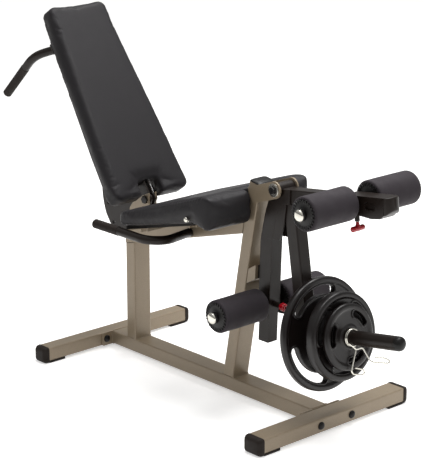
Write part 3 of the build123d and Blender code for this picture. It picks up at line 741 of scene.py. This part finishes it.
# ---------------------------------------------------------------- rollers
@dataclass
class RollerSet:
    """Foam rollers, their end rings and the chromed caps on the axle's two ends."""

    level: str
    centre: Point
    foam_r: float = 57.5
    inner: float = 50.0  # where the foam starts, out from the middle plane
    outer: float = 247.0  # and where it ends
    ring_r: float = 50.5
    bore: float = 16.0
    axle_r: float = 12.78
    axle_end: float = 264.0
    boss_end: float = 262.0
    teeth: int = 26
    tooth: float = 3.6  # half the depth of a tooth
    lumps: float = 0.9  # height of the foam's slow unevenness
    lumps_room: float = 0.6  # taken off the radius, so that the lumps stay in the CAD size

    def foam(self, hand: Hand) -> None:
        """Make a foam sleeve with soft ends and the slight unevenness of moulded foam.

        Args:
            hand: The side it sits on.
        """
        way, side = hand.value, hand.name.lower()

        def uneven(turn: float, along: float, radius: float) -> float:
            """Radius with soft lumps on the outside, less the room that they take."""
            p = Vector((cos(turn) * 1.3, sin(turn) * 1.3,
                        along / 60 + way * 7 + self.centre[0] / 50))
            return radius + (self.lumps * noise.noise(p) - self.lumps_room
                             if radius >= self.foam_r * 0.6 else 0.0)
        ends = rounded([(self.inner, self.bore), (self.inner, self.foam_r),
                        (self.outer, self.foam_r), (self.outer, self.bore)], 9.0, steps=5)
        outline: list[Point] = []
        for (u, r), (u2, r2) in zip(ends, ends[1:]):
            parts = max(1, round(abs(u2 - u) / 12))
            outline += [(u + (u2 - u) * k / parts, r + (r2 - r) * k / parts)
                        for k in range(parts)]
        build = bmesh.new()
        lathe(build, outline + ends[-1:], sideways(self.centre, way), 72, uneven, ring=True)
        piece = fit(new_object(f"{self.level}_foam_{side}", build), FOAM,
                    f"{self.level}_roller_{side}", "foam", f"{self.level}_roller_foam_{side}",
                    angle=60.0)

    def toothed(self, turn: float, along: float, radius: float) -> float:
        """Radius with square-cut teeth on the rim of a ring."""
        wave = max(-1.0, min(1.0, cos(turn * self.teeth) * 2.4))
        return radius + (self.tooth * (wave - 1) if radius >= self.ring_r - 6 else 0.0)

    def hub(self, hand: Hand) -> None:
        """Make the plastic tube through the foam, with a toothed ring at each end.

        Args:
            hand: The side it sits on.
        """
        build = bmesh.new()
        low, high = self.inner - 4.0, self.outer + 4.0
        r, a = self.ring_r, self.axle_r
        face = [(0, 24), (1.6, 27), (1.6, r - 7), (0, r - 5.5), (0, r - 1.5), (1.2, r), (4, r),
                (4, self.bore)]
        outline = ([(low, a)] + [(low + u, radius) for u, radius in face]
                   + [(high - u, radius) for u, radius in reversed(face)]
                   + [(high + 0.6, 20), (self.boss_end - 2, 19.4), (self.boss_end, 17.5),
                      (self.boss_end, a)])
        lathe(build, outline, sideways(self.centre, hand.value), self.teeth * 8, self.toothed,
              ring=True)
        side = hand.name.lower()
        fit(new_object(f"{self.level}_end_rings_{side}", build), ABS,
            f"{self.level}_roller_{side}", "black_plastic", f"{self.level}_roller_hub_{side}",
            angle=30.0)

    def build(self) -> None:
        """Make both rollers, and the domed chromed caps on the axle."""
        caps, e = bmesh.new(), self.axle_end
        profile = [(e, 0), (e, 19.0), (e + 0.8, 19.5), (e + 3.4, 19.5)]
        profile += dome(e + 4, 7.0, 18.6, range(0, 90, 9)) + [(e + 11.0, 0)]
        for hand in Hand:
            self.foam(hand)
            self.hub(hand)
            lathe(caps, profile, sideways(self.centre, hand.value), 48)
        fit(new_object(f"{self.level}_axle_domes", caps), CHROME, f"{self.level}_carriage",
            "bright_steel", f"{self.level}_axle_caps", angle=50.0)


# ---------------------------------------------------------------- plates, horn and collar
@dataclass
class Horn:
    """Axis of the weight horn, from its tip back."""

    tip: Point = (-280.0, 381.0)
    tilt: float = 9.2
    radius: float = 24.8

    def face(self, s: float) -> Matrix:
        """Frame across the horn at a distance from its tip, z towards the tip and y up."""
        back = Vector((0, cos(radians(self.tilt)), -sin(radians(self.tilt))))
        return frame_of(spot(0, *self.tip) + back * s * MM, -back)


@dataclass
class GripPlate:
    """Weight plate with a thick rim, a thin web, a boss and three hand slots."""

    size: str
    front: float
    rear: float
    radius: float
    boss: float
    web: float
    slot_r: float
    slot_h: float
    slots: Profile  # middle and half spread of each slot, in degrees
    boss_front: float | None = None
    bore: float = 25.6
    lip: float = 3.6  # half the thickness of a slot's lip
    lip_out: float = 2.2  # from the slot's edge to the middle of its lip
    horn: Horn = field(default_factory=Horn)

    def section(self) -> list[Point]:
        """Draw half the section of the plate.

        Returns:
            Points of distance from the horn's tip, and radius.
        """
        bf = self.front if self.boss_front is None else self.boss_front
        mid = (self.front + self.rear) / 2
        r, w, b = self.radius, self.web, self.boss
        return [(bf, self.bore), (bf, b - 4), (bf + 4, b), (mid - w, b + 3), (mid - w, r - 24),
                (self.front, r - 18), (self.front, r - 5), (self.front + 6, r),
                (self.rear - 6, r), (self.rear, r - 5), (self.rear, r - 18), (mid + w, r - 24),
                (mid + w, b + 3), (self.rear, b), (self.rear, self.bore)]

    def slot_outline(self, centre: float, spread: float, grow: float = 0.0) -> list[Point]:
        """Outline of one curved hand slot, as x and y across the plate in mm.

        Args:
            centre: Middle of the slot, in degrees round the plate.
            spread: Degrees from there to each of its round ends.
            grow: Width in mm added all round.

        Returns:
            The outline.
        """
        half = self.slot_h / 2 + grow
        low, high = radians(centre - spread), radians(centre + spread)

        def arc(hub: float, at: float, r: float, since: float, sweep: float, parts: int,
                skip: int) -> list[Point]:
            """Arc about a centre at a radius and an angle, less some points at its ends."""
            turns = [since + sweep * k / parts for k in range(skip, parts + 1 - skip)]
            return [(hub * cos(at) + r * cos(t), hub * sin(at) + r * sin(t)) for t in turns]
        return (arc(0, 0, self.slot_r + half, low, high - low, 14, 0)
                + arc(self.slot_r, high, half, high, pi, 8, 1)
                + arc(0, 0, self.slot_r - half, high, low - high, 14, 0)
                + arc(self.slot_r, low, half, low + pi, pi, 8, 1))

    def build(self) -> None:
        """Turn the section, cut the slots and give each a rounded lip."""
        build = bmesh.new()
        lathe(build, [(-s, r) for s, r in rounded(self.section(), 3.5, closed=True, steps=3)],
              self.horn.face(0), 120, ring=True)
        plate = new_object(f"grip_plate_{self.size}", build)
        build = bmesh.new()
        for slot in self.slots:
            loft(build, [flat_points(self.horn.face(s), self.slot_outline(*slot))
                         for s in (self.front - 60, self.rear + 4)])
        cutter = new_object("slot_cutter", build)
        cut = plate.modifiers.new("slots", "BOOLEAN")
        cut.object = cutter
        cut.operation = "DIFFERENCE"
        cut.solver = "EXACT"
        apply_modifiers(plate)
        bpy.data.objects.remove(cutter)
        edges = bmesh.new()
        edges.from_mesh(plate.data)
        mid = (self.front + self.rear) / 2
        for slot in self.slots:
            for s in (mid - self.web, mid + self.web):
                tube(edges, flat_points(self.horn.face(s), self.slot_outline(*slot, self.lip_out)),
                     self.lip, 8, closed=True)
        edges.to_mesh(plate.data)
        edges.free()
        fit(plate, COATED_IRON, "load", "plate_iron", f"plate_{self.size}", angle=32.0)


@dataclass
class SpringClip:
    """Coil of bright wire round the horn, with a bent squeeze handle on each end of the wire."""

    horn: Horn = field(default_factory=Horn)
    wire: float = 2.75
    start: float = 213.6  # close to the coil's front turn, in mm from the horn's tip
    pitch: float = 5.9
    turns: float = 2.2
    lower: Sequence[Triple] = (  # across, up and back from the tip along each handle's bends
        (-2, -103, 219), (37, -118, 219), (42, -130, 219), (28, -135, 219), (-14, -121, 219),
        (-21, -109, 219), (11, -43, 219))
    upper: Sequence[Triple] = (
        (6, -42, 214), (33, -41, 210), (48, -87, 196), (55, -94, 190), (97, -105, 160),
        (103, -99, 157), (87, -85, 164), (59, -78, 180))

    def local(self, x: float, y: float, s: float) -> Vector:
        """Point beside the horn from its axis, at a distance from its tip."""
        return self.horn.face(s) @ (Vector((x, y, 0)) * MM)

    def build(self) -> None:
        """Wind the coil and bend its two handles."""
        ring = self.horn.radius + 0.5 + self.wire
        wind: list[Vector] = []
        for k in range(int(self.turns * 40) + 1):
            turn = radians(-78) - tau * k / 40
            wind.append(self.local(ring * cos(turn), ring * sin(turn),
                                   self.start + 6 - self.pitch * (k / 40 - 1.0)))
        lead = eased([self.local(*p) for p in self.lower] + wind[:2], 8.0)[:-1]
        tail = eased(wind[-2:] + [self.local(*p) for p in self.upper], 8.0)[1:]
        build = bmesh.new()
        tube(build, lead + wind[1:-1] + tail, self.wire, 12)
        fit(new_object("spring_clip", build), CHROME, "load", "bright_steel", "spring_collar",
            angle=70.0)


# ---------------------------------------------------------------- caps, fasteners, knobs, grips
@dataclass
class PostCap:
    """Smooth domed plastic cap that closes the leaning post."""

    seat: Point = (368.0, 792.0)
    slope: float = 0.1779
    half_x: float = 38.3
    half_y: float = 25.6
    rise: float = 8.0
    wall: float = 3.5
    rounds: int = 12  # steps up the dome

    def build(self) -> None:
        """Loft the dome from rounded rectangles that close in towards the top."""
        place = frame_of(spot(0, *self.seat), Vector((0, -self.slope, 1)))
        rings = [box_ring(place, self.half_x - self.wall, self.half_y - self.wall, 3, z)
                 for z in (-18, -0.5)]
        rings += [box_ring(place, self.half_x, self.half_y, 6, z) for z in (0.0, 2.4)]
        for k in range(1, self.rounds + 1):
            turn = radians(88 * k / self.rounds)
            close = cos(turn) ** 0.62
            rings.append(box_ring(place, self.half_x * close, self.half_y * close,
                                  6 + 14 * k / self.rounds, 2.4 + self.rise * sin(turn) ** 1.1))
        build = bmesh.new()
        loft(build, rings)
        fit(new_object("post_dome", build), ABS, "frame", "black_plastic", "upright_cap",
            angle=50.0)


@dataclass
class FootCaps:
    """Moulded rubber caps that wrap the feet's ends and carry the soles."""

    feet: Sequence[Triple] = (  # station of the front, depth and length of each foot
        (0.0, 76.2, 673.0), (1150.3, 60.6, 671.0))
    high: float = 60.8
    bulge: float = 19.0
    taper: float = 13.0
    sole: float = 8.0
    sole_length: float = 75.0

    def build(self) -> None:
        """Loft the four bulging caps and their soles."""
        build = bmesh.new()
        for start, depth, length in self.feet:
            for hand in Hand:
                middle = start + depth / 2
                place = frame_of(spot(hand.value * length / 2, middle, self.high / 2),
                                 Vector((hand.value, 0, 0)), Vector((0, 1, 0)))
                half_x, half_y = depth / 2 + 2, self.high / 2
                rings = [box_ring(place, half_x - 0.8, half_y - 0.4, 9, -0.1),
                         box_ring(place, half_x, half_y, 9, 1.2)]
                for turn in map(radians, (0, 15, 30, 45, 60, 72, 82)):
                    inward = self.taper * (1 - cos(turn))
                    rings.append(box_ring(place, half_x - inward, half_y - inward, 10,
                                          6 + self.bulge * sin(turn)))
                loft(build, rings)
                reach, half = self.sole_length / 2, depth / 2
                flat = frame_of(spot(hand.value * (length / 2 - reach), middle, 0), UP)
                loft(build, [box_ring(flat, reach - 1.5, half - 1.5, 4, 0),
                             box_ring(flat, reach, half, 4, 1.5),
                             box_ring(flat, reach, half, 4, self.sole - 0.05)])
        fit(new_object("foot_end_caps", build), RUBBER, "frame", "rubber_black", "foot_caps",
            angle=40.0)


@dataclass
class Fasteners:
    """Bolts of the frame: button heads, pivot nuts on their washers, the seat's side buttons."""

    bolt_z: float = 34.0
    bolts: Sequence[Triple] = (  # station of the head, length gripped and half the spacing
        (0.0, 82.2, 74.0), (1144.3, 66.6, 66.5))
    pivot: Point = (268.0, 789.0)
    pivot_face: float = 44.1
    seat_button: Point = (485.0, 679.5)
    seat_face: float = 245.0

    def button_heads(self) -> None:
        """Make button heads with a hexagon in the face, their shanks and their nuts."""
        build = bmesh.new()
        head = [(9.0, 0)] + dome(0, 9.0, 14.0, (80, 66, 52, 38, 26, 14, 5), 0.8) + [(0.0, 14.0)]
        for station, grip, apart in self.bolts:
            for hand in Hand:
                place = frame_of(spot(hand.value * apart, station, self.bolt_z),
                                 Vector((0, -1, 0)))
                lathe(build, head + [(0.0, 6.0), (-grip - 14, 6.0), (-grip - 14, 0)], place, 36)
                lathe(build, [(9.25, 0), (9.25, 4.6), (7.6, 5.0), (7.6, 0)], place, 6)
                lathe(build, [(-grip, 6), (-grip, 10.5), (-grip - 1.2, 12.0),
                              (-grip - 8.8, 12.0), (-grip - 10, 10.5), (-grip - 10, 6)], place, 6)
        fit(new_object("flange_button_bolts", build), BLACK_OXIDE, "frame", "black_bolt",
            "flange_bolts", angle=40.0)

    def side_fittings(self) -> None:
        """Make the washers and lock nuts of the pivot shaft, and the domes on the seat."""
        washers, nuts, buttons = bmesh.new(), bmesh.new(), bmesh.new()
        f, s = self.pivot_face, self.seat_face
        button = [(s - 8, 0), (s - 8, 9.0)] + dome(s, 5.0, 9.0, range(0, 90, 15)) + [(s + 5, 0)]
        for hand in Hand:
            place = sideways(self.pivot, hand.value)
            lathe(washers, [(f, 12.7), (f, 22.4), (f + 1.0, 23.5), (f + 2.8, 23.5),
                            (f + 4.0, 22.2), (f + 4.0, 12.7)], place, 48, ring=True)
            lathe(nuts, [(f + 4, 12), (f + 4, 15), (f + 5.5, 15.6), (f + 6.2, 14.4),
                         (f + 12.2, 13.4), (f + 13.4, 11.5), (f + 13.4, 8.0), (f + 12.0, 7.0),
                         (f + 12.0, 0)], place, 6)
            lathe(buttons, button, sideways(self.seat_button, hand.value), 32)
        fit(new_object("pivot_washers", washers), TURNED_STEEL, "frame", "black_bolt",
            "pivot_bolts", angle=40.0)
        fit(new_object("pivot_lock_nuts", nuts), BLACK_OXIDE, "frame", "black_bolt", angle=30.0)
        fit(new_object("seat_buttons", buttons), CHROME, "frame", "bright_steel",
            "seat_side_bolts", angle=50.0)

    def build(self) -> None:
        """Make every fastener."""
        self.button_heads()
        self.side_fittings()


@dataclass
class Knobs:
    """Red plastic knobs and the T handle of the three pull pins."""

    arm_slope: float = 0.127
    shin_lean: float = 0.0384
    lock: Point = (1204.4154, 626.7416)
    shin_face: Point = (303.6728, 370.5)
    curl_pin_top: Point = (-68.4506, 782.991)
    flutes: int = 10
    flute_mm: float = 0.9  # half the depth of a flute
    fluted_from: float = 12.5  # radius where the flutes begin

    def fluted(self, turn: float, along: float, radius: float) -> float:
        """Radius with soft flutes where the knob is widest."""
        depth = self.flute_mm * (1 - cos(self.flutes * turn))
        return radius - (depth if radius > self.fluted_from else 0.0)

    def knob(self, name: str, place: Matrix, profile: Profile, body: str, node: str) -> None:
        """Turn one fluted knob.

        Args:
            name: Name of the piece.
            place: Frame on the pin's axis.
            profile: Along and radius in mm, from the knob's bore round to its bore.
            body: The CAD body it rides on.
            node: The CAD node it replaces.
        """
        build = bmesh.new()
        lathe(build, rounded(profile, 2.5), place, 60, self.fluted, ring=True)
        fit(new_object(name, build), RED, body, "red_plastic", node, angle=60.0)

    def build(self) -> None:
        """Make the two fluted knobs and the T handle."""
        self.knob("back_pull_knob", sideways(self.lock), [
            (42, 5.0), (42, 9.0), (46, 10.0), (49, 14.0), (63, 14.0), (66, 10.5), (66, 5.0)],
            "back_lock", "back_lock_knob")
        out = frame_of(spot(0, *self.shin_face), Vector((0, -1, -self.shin_lean)))
        self.knob("shin_pull_knob", out, [
            (29, 4.0), (29, 9.5), (33, 10.5), (35, 14.0), (50, 14.0), (53, 10.0), (53, 4.0)],
            "shin_lock", "shin_pin_knob")
        build = bmesh.new()
        down = Vector((0, -self.arm_slope, -1)).normalized()
        foot = spot(0, *self.curl_pin_top)
        neck = [(38, 4.0), (38, 5.6), (47, 6.2), (53, 9.0), (58, 9.0), (58, 4.0)]
        lathe(build, rounded(neck, 2.0), frame_of(foot, down), 40, ring=True)
        bar = [(-31.0, 0)] + dome(-21.2, -9.8, 9.8, (70, 50, 30, 10)) + [(-15.0, 9.2), (0.0, 9.9)]
        lathe(build, bar + [(-x, r) for x, r in reversed(bar[:-1])],
              frame_of(foot + down * 60 * MM, Vector((1, 0, 0)), UP), 40)
        fit(new_object("curl_pull_handle", build), RED, "curl_lock", "red_plastic",
            "curl_pin_handle", angle=60.0)


@dataclass
class Grips:
    """Rubber sleeves on the seat's and the back rest's handles."""

    radius: float = 17.2
    tube_r: float = 15.9
    rib_pitch: float = 4.0
    seat_x: float = 240.0
    seat_run: Triple = (848.0, 983.0, 558.5)  # first station, last station and height
    back_x: float = 157.0
    back_end: Point = (1610.0, 925.0)
    back_dir: Point = (0.72337, -0.69050)
    back_length: float = 165.0

    def sleeve(self, build: BMesh, foot: Vector, run: Vector, length: float) -> None:
        """Add one sleeve with a rolled lip, fine ribs and a domed end.

        Args:
            build: The bmesh that takes the faces.
            foot: Where it starts, in metres.
            run: Its direction.
            length: Its length in mm.
        """
        r, t = self.radius, self.tube_r
        outline = [(0.0, t), (0.0, r - 0.4), (1.2, r), (3.6, r), (4.6, r - 0.7)]
        for k in range(int((length - 24) / self.rib_pitch)):
            u = 8 + self.rib_pitch * k
            outline += [(u, r - 0.7), (u + 1.2, r - 0.25), (u + 2.6, r - 0.25)]
        outline += [(length - 10, r - 0.6), (length - 8, r), (length - 3, r - 0.4),
                    (length - 0.8, r - 3.5), (length, r - 8), (length, 0)]
        lathe(build, outline, frame_of(foot, run), 40)

    def build(self) -> None:
        """Make the two pairs of sleeves."""
        start, end, z = self.seat_run
        seat, back = bmesh.new(), bmesh.new()
        run = Vector((0, *self.back_dir)).normalized()
        for hand in Hand:
            self.sleeve(seat, spot(hand.value * self.seat_x, start, z), Vector((0, 1, 0)),
                        end - start)
            tip = spot(hand.value * self.back_x, *self.back_end)
            self.sleeve(back, tip - run * self.back_length * MM, run, self.back_length + 4)
        for name, build, body, node in (("seat_handle_grips", seat, "frame", "seat_grips"),
                                        ("back_handle_grips", back, "back", "back_grips")):
            fit(new_object(name, build), RUBBER, body, "rubber_black", node, angle=50.0)


@dataclass
class LeverTrim:
    """The lever's gussets, its arm's rounded end stop, its leg's plug and its horn's nose."""

    horn: Horn = field(default_factory=Horn)
    web: Profile = ((222, 748), (231.6, 675.5), (243, 636), (254, 612), (288, 612), (280, 660),
                    (264, 715), (246, 748))
    web_from: float = 25.2
    web_to: float = 30.2
    arm_end: Point = (-209.0, 852.452)
    arm_slope: float = 0.127
    arm_top: float = 3.2
    arm_rings: Sequence[Triple] = (  # reach, half width and lower edge
        (0.0, 31.6, -54.5), (5.0, 31.6, -53.5), (10.0, 29.6, -50.0), (15.0, 25.2, -46.0),
        (19.0, 19.0, -42.5), (21.6, 12.0, -40.0), (22.6, 6.0, -38.0))
    half: float = 25.4
    leg_end: Point = (140.105, 284.0)
    leg_lean: float = 0.1618

    def gussets(self) -> None:
        """Make the thin plates that fill the wedge between the two legs, on both sides."""
        build = bmesh.new()
        outline = rounded(self.web, 9.0, closed=True)
        for hand in Hand:
            loft(build, [[spot(hand.value * x, y, z) for y, z in outline]
                         for x in (self.web_from, self.web_to)])
        fit(new_object("lever_gussets", build), BLACK, "lever", "black_paint", angle=40.0)

    def end_stop(self) -> None:
        """Make the rounded nose on the arm's end, and the plug in the weight leg's foot."""
        build = bmesh.new()
        place = frame_of(spot(0, *self.arm_end), Vector((0, -1, self.arm_slope)))
        rings = []
        for reach, wide, low in self.arm_rings:
            drop = Vector((0, (self.arm_top + low) / 2, 0)) * MM
            rings.append(box_ring(place @ Matrix.Translation(drop), wide,
                                  (self.arm_top - low) / 2, 5, reach))
        loft(build, rings)
        foot = frame_of(spot(0, *self.leg_end), Vector((0, -self.leg_lean, -1)))
        loft(build, [box_ring(foot, self.half - inward, self.half - inward, 5, level)
                     for inward, level in ((0, 0), (0, 1.6), (1.6, 3.0))])
        fit(new_object("arm_end_stop", build), BLACK, "lever", "black_plastic",
            "lever_end_plugs", angle=55.0)

    def nose(self) -> None:
        """Turn the rounded plastic plug that closes the horn's tip."""
        build = bmesh.new()
        r = self.horn.radius
        profile = [(-6.0, 0)] + dome(12.0, -18.0, r, (84, 74, 62, 50, 38, 26, 12), 0.7)
        profile += [(12.0, r), (18.0, r), (19.0, r - 0.8), (19.0, r - 4), (28.0, r - 4), (28.0, 0)]
        lathe(build, [(-s, radius) for s, radius in profile], self.horn.face(0), 64)
        fit(new_object("horn_nose", build), ABS, "lever", "black_plastic", "horn_cap", angle=50.0)

    def build(self) -> None:
        """Make the trim of the lever."""
        self.nose()
        self.gussets()
        self.end_stop()


@dataclass
class Welds:
    """Rippled fillet welds where the frame's tubes meet, painted with the frame."""

    size: float = 2.6
    pitch: float = 3.4
    ripple: float = 0.16
    half_x: float = 38.4
    step_mm: float = 1.2  # between the points of a bead's path
    post_seams: Profile = ((1032.9, 25.6), (498.5, 26.0))  # station and half depth of a post
    flange_seams: Sequence[float] = (82.6, 1143.9)  # stations of the spine's flanges
    spine_z: float = 33.4
    spine_half: float = 25.6
    spine_top: float = 58.9

    def seam(self, build: BMesh, place: Matrix, half_y: float) -> None:
        """Add the bead where a rectangular tube meets a face.

        Args:
            build: The bmesh that takes the faces.
            place: Frame on the tube's axis, in the face.
            half_y: Half the tube's size along the frame's y.
        """
        ring = box_ring(place, self.half_x, half_y, 6)
        path: list[Vector] = []
        for a, b in zip(ring, ring[1:] + ring[:1]):
            parts = max(1, round((b - a).length / (self.step_mm * MM)))
            path += [a.lerp(b, k / parts) for k in range(parts)]
        tube(build, path, self.size, 8, lambda gone: 1 + self.ripple * sin(tau * gone / self.pitch),
             closed=True)

    def build(self) -> None:
        """Run the beads of the spine's flanges and of the two posts."""
        build = bmesh.new()
        for station in self.flange_seams:
            self.seam(build, frame_of(spot(0, station, self.spine_z), Vector((0, 1, 0))),
                      self.spine_half)
        for station, half_y in self.post_seams:
            self.seam(build, frame_of(spot(0, station, self.spine_top), UP), half_y)
        fit(new_object("frame_welds", build), SILVER, "frame", "frame_paint", angle=80.0)


# ---------------------------------------------------------------- paintwork of the CAD nodes
PAINTWORK: dict[Finish, str] = {
    SILVER: "front_foot rear_foot spine rear_upright front_upright seat_rail fork_plates "
            "stop_bracket seat_crossbars hinge_ears",
    BLACK: "seat_handles adjuster_quadrant back_side_plates back_tube back_handles lever_hub "
           "curl_arm shin_leg weight_leg weight_horn curl_sleeve shin_slider",
    ABS: "rail_end_plug back_tube_plug",
    RUBBER: "stop_rubber",
    TURNED_STEEL: "pivot_shaft back_lock_pin curl_pin shin_pin",
    BLACK_OXIDE: "hinge_bolt",
    PLY: "seat_board back_board",
}


def paint_nodes() -> None:
    """Give every CAD node that stays its finish."""
    for finish, names in PAINTWORK.items():
        for name in names.split():
            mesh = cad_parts[name].data
            mesh.materials.clear()
            mesh.materials.append(finish.material())
            log.info("node %s: %s", name, finish.name)


# ---------------------------------------------------------------- studio
@dataclass
class Studio:
    """Pale floor, soft lamps, plain world and the camera."""

    eye: Triple = (-4.00472, -4.45721, 2.32469)
    azimuth: float = 42.283
    dip: float = 16.511
    lens: float = 136.74
    film: float = 36.0
    floor_colour: str = "#f4f3f1"
    floor_glow: float = 0.5
    floor_half: float = 40.0
    horizon: float = 0.20
    zenith: float = 0.72

    def camera(self) -> None:
        """Stand the camera and make it the scene's own."""
        data = bpy.data.cameras.new("camera")
        data.lens = self.lens
        data.sensor_width = self.film
        data.clip_end = 60.0
        eye = bpy.data.objects.new("camera", data)
        bpy.context.scene.collection.objects.link(eye)
        a, d = radians(self.azimuth), radians(self.dip)
        look = Vector((sin(a) * cos(d), cos(a) * cos(d), -sin(d)))
        eye.location = self.eye
        eye.rotation_euler = look.to_track_quat("-Z", "Y").to_euler()
        bpy.context.scene.camera = eye

    def floor(self) -> None:
        """Lay the floor. It glows to the eye, a mirror or glass, and so shows white."""
        build = bmesh.new()
        bmesh.ops.create_grid(build, x_segments=1, y_segments=1, size=self.floor_half)
        ground = new_object("floor", build)
        paper = bpy.data.materials.new("studio_paper")
        paper.use_nodes = True
        tree = paper.node_tree
        tree.nodes.clear()
        rays = add_node(tree, "LightPath").outputs
        seen = rays["Is Camera Ray"]
        for other in ("Is Glossy Ray", "Is Transmission Ray"):
            seen = add_node(tree, "Math", {0: seen, 1: rays[other]},
                            operation="MAXIMUM").outputs[0]
        level = add_node(tree, "Math", {0: seen, 1: self.floor_glow}, operation="MULTIPLY")
        glow = add_node(tree, "Emission", {"Strength": level.outputs[0]}).outputs[0]
        dull = add_node(tree, "BsdfDiffuse", {"Color": linear(self.floor_colour)}).outputs[0]
        both = add_node(tree, "AddShader", {0: dull, 1: glow}).outputs[0]
        add_node(tree, "OutputMaterial", {"Surface": both})
        ground.data.materials.append(paper)

    def world(self) -> None:
        """Soft light from all round, brighter overhead than at the horizon, as in a studio."""
        world = bpy.data.worlds.new("studio")
        bpy.context.scene.world = world
        world.use_nodes = True
        tree = world.node_tree
        tree.nodes.clear()
        way = add_node(tree, "TexCoord").outputs["Generated"]
        height = add_node(tree, "SeparateXYZ", {0: way}).outputs["Z"]
        level = add_node(tree, "MapRange", {
            "Value": height, "From Min": 0.05, "From Max": 0.9, "To Min": self.horizon,
            "To Max": self.zenith}).outputs[0]
        sky = add_node(tree, "Background", {"Color": linear("#ffffff"), "Strength": level})
        add_node(tree, "OutputWorld", {"Surface": sky.outputs[0]})

    def lamp(self, name: str, place: Triple,
             aim: Triple, size: float, power: float) -> None:
        """Hang one soft lamp.

        Args:
            name: Name of the lamp.
            place: Where it hangs.
            aim: The point that it faces.
            size: Side of its square face in metres.
            power: Its power in watts.
        """
        data = bpy.data.lights.new(name, "AREA")
        data.size = size
        data.energy = power
        lamp = bpy.data.objects.new(name, data)
        bpy.context.scene.collection.objects.link(lamp)
        lamp.location = place
        lamp.rotation_euler = (Vector(aim) - Vector(place)).to_track_quat("-Z", "Y").to_euler()

    def build(self) -> None:
        """Set up the whole studio."""
        bpy.context.scene.view_settings.view_transform = "Standard"
        self.camera()
        self.floor()
        self.world()
        self.lamp("top_softbox", (0.9, -0.1, 4.2), (0.0, 0.0, 0.4), 3.0, 180.0)
        self.lamp("front_softbox", (1.4, -4.6, 2.4), (0.0, 0.0, 0.6), 2.4, 8.0)


# ---------------------------------------------------------------- the whole object
def pads() -> list[Pad]:
    """Both cushions, each with the frame of its board.

    Returns:
        The seat's cushion and the back's.
    """
    lean, thick = radians(34.4), 54  # the back pad's angle, and its thickness in mm
    seat_bed = frame_of(spot(0, 670, 618), Vector((0, 0.2553, 1)).normalized())
    back_bed = frame_of(spot(0, 932 + cos(lean) * thick, 634 - sin(lean) * thick),
                        Vector((0, -cos(lean), sin(lean))))
    return [Pad("seat_cushion", "seat_pad", "frame", seat_bed, 205.0, -180.0, 165.0,
                shrink_mm=0.5),
            Pad("back_cushion", "back_pad", "back", back_bed, 112.0, 25.0, 760.0, cap_mm=6.0)]


def plates() -> list[GripPlate]:
    """The three plates, each with its sizes in mm.

    Returns:
        The plates, from the innermost out.
    """
    return [
        GripPlate("large", 340, 367, 194, 56, 8, 150, 34, ((105, 34), (225, 34), (345, 34)),
                  boss_front=291),
        GripPlate("medium", 252, 290.8, 150, 50, 12, 110, 30, ((149, 26), (29, 26), (269, 26))),
        GripPlate("small", 228, 251.8, 113, 44, 8, 80, 25, ((45, 19), (165, 19), (285, 19)))]


def main() -> None:
    """Build every piece in order."""
    logging.basicConfig(level=logging.INFO, format="%(message)s")
    Studio().build()
    paint_nodes()
    for part in (*pads(), RollerSet("curl", (-73.0, 816.0)), RollerSet("shin", (330.58, 373.0)),
                 *plates(), SpringClip(), PostCap(), FootCaps(), Fasteners(), Knobs(), Grips(),
                 LeverTrim(), Welds()):
        part.build()


if __name__ == "__main__":
    main()
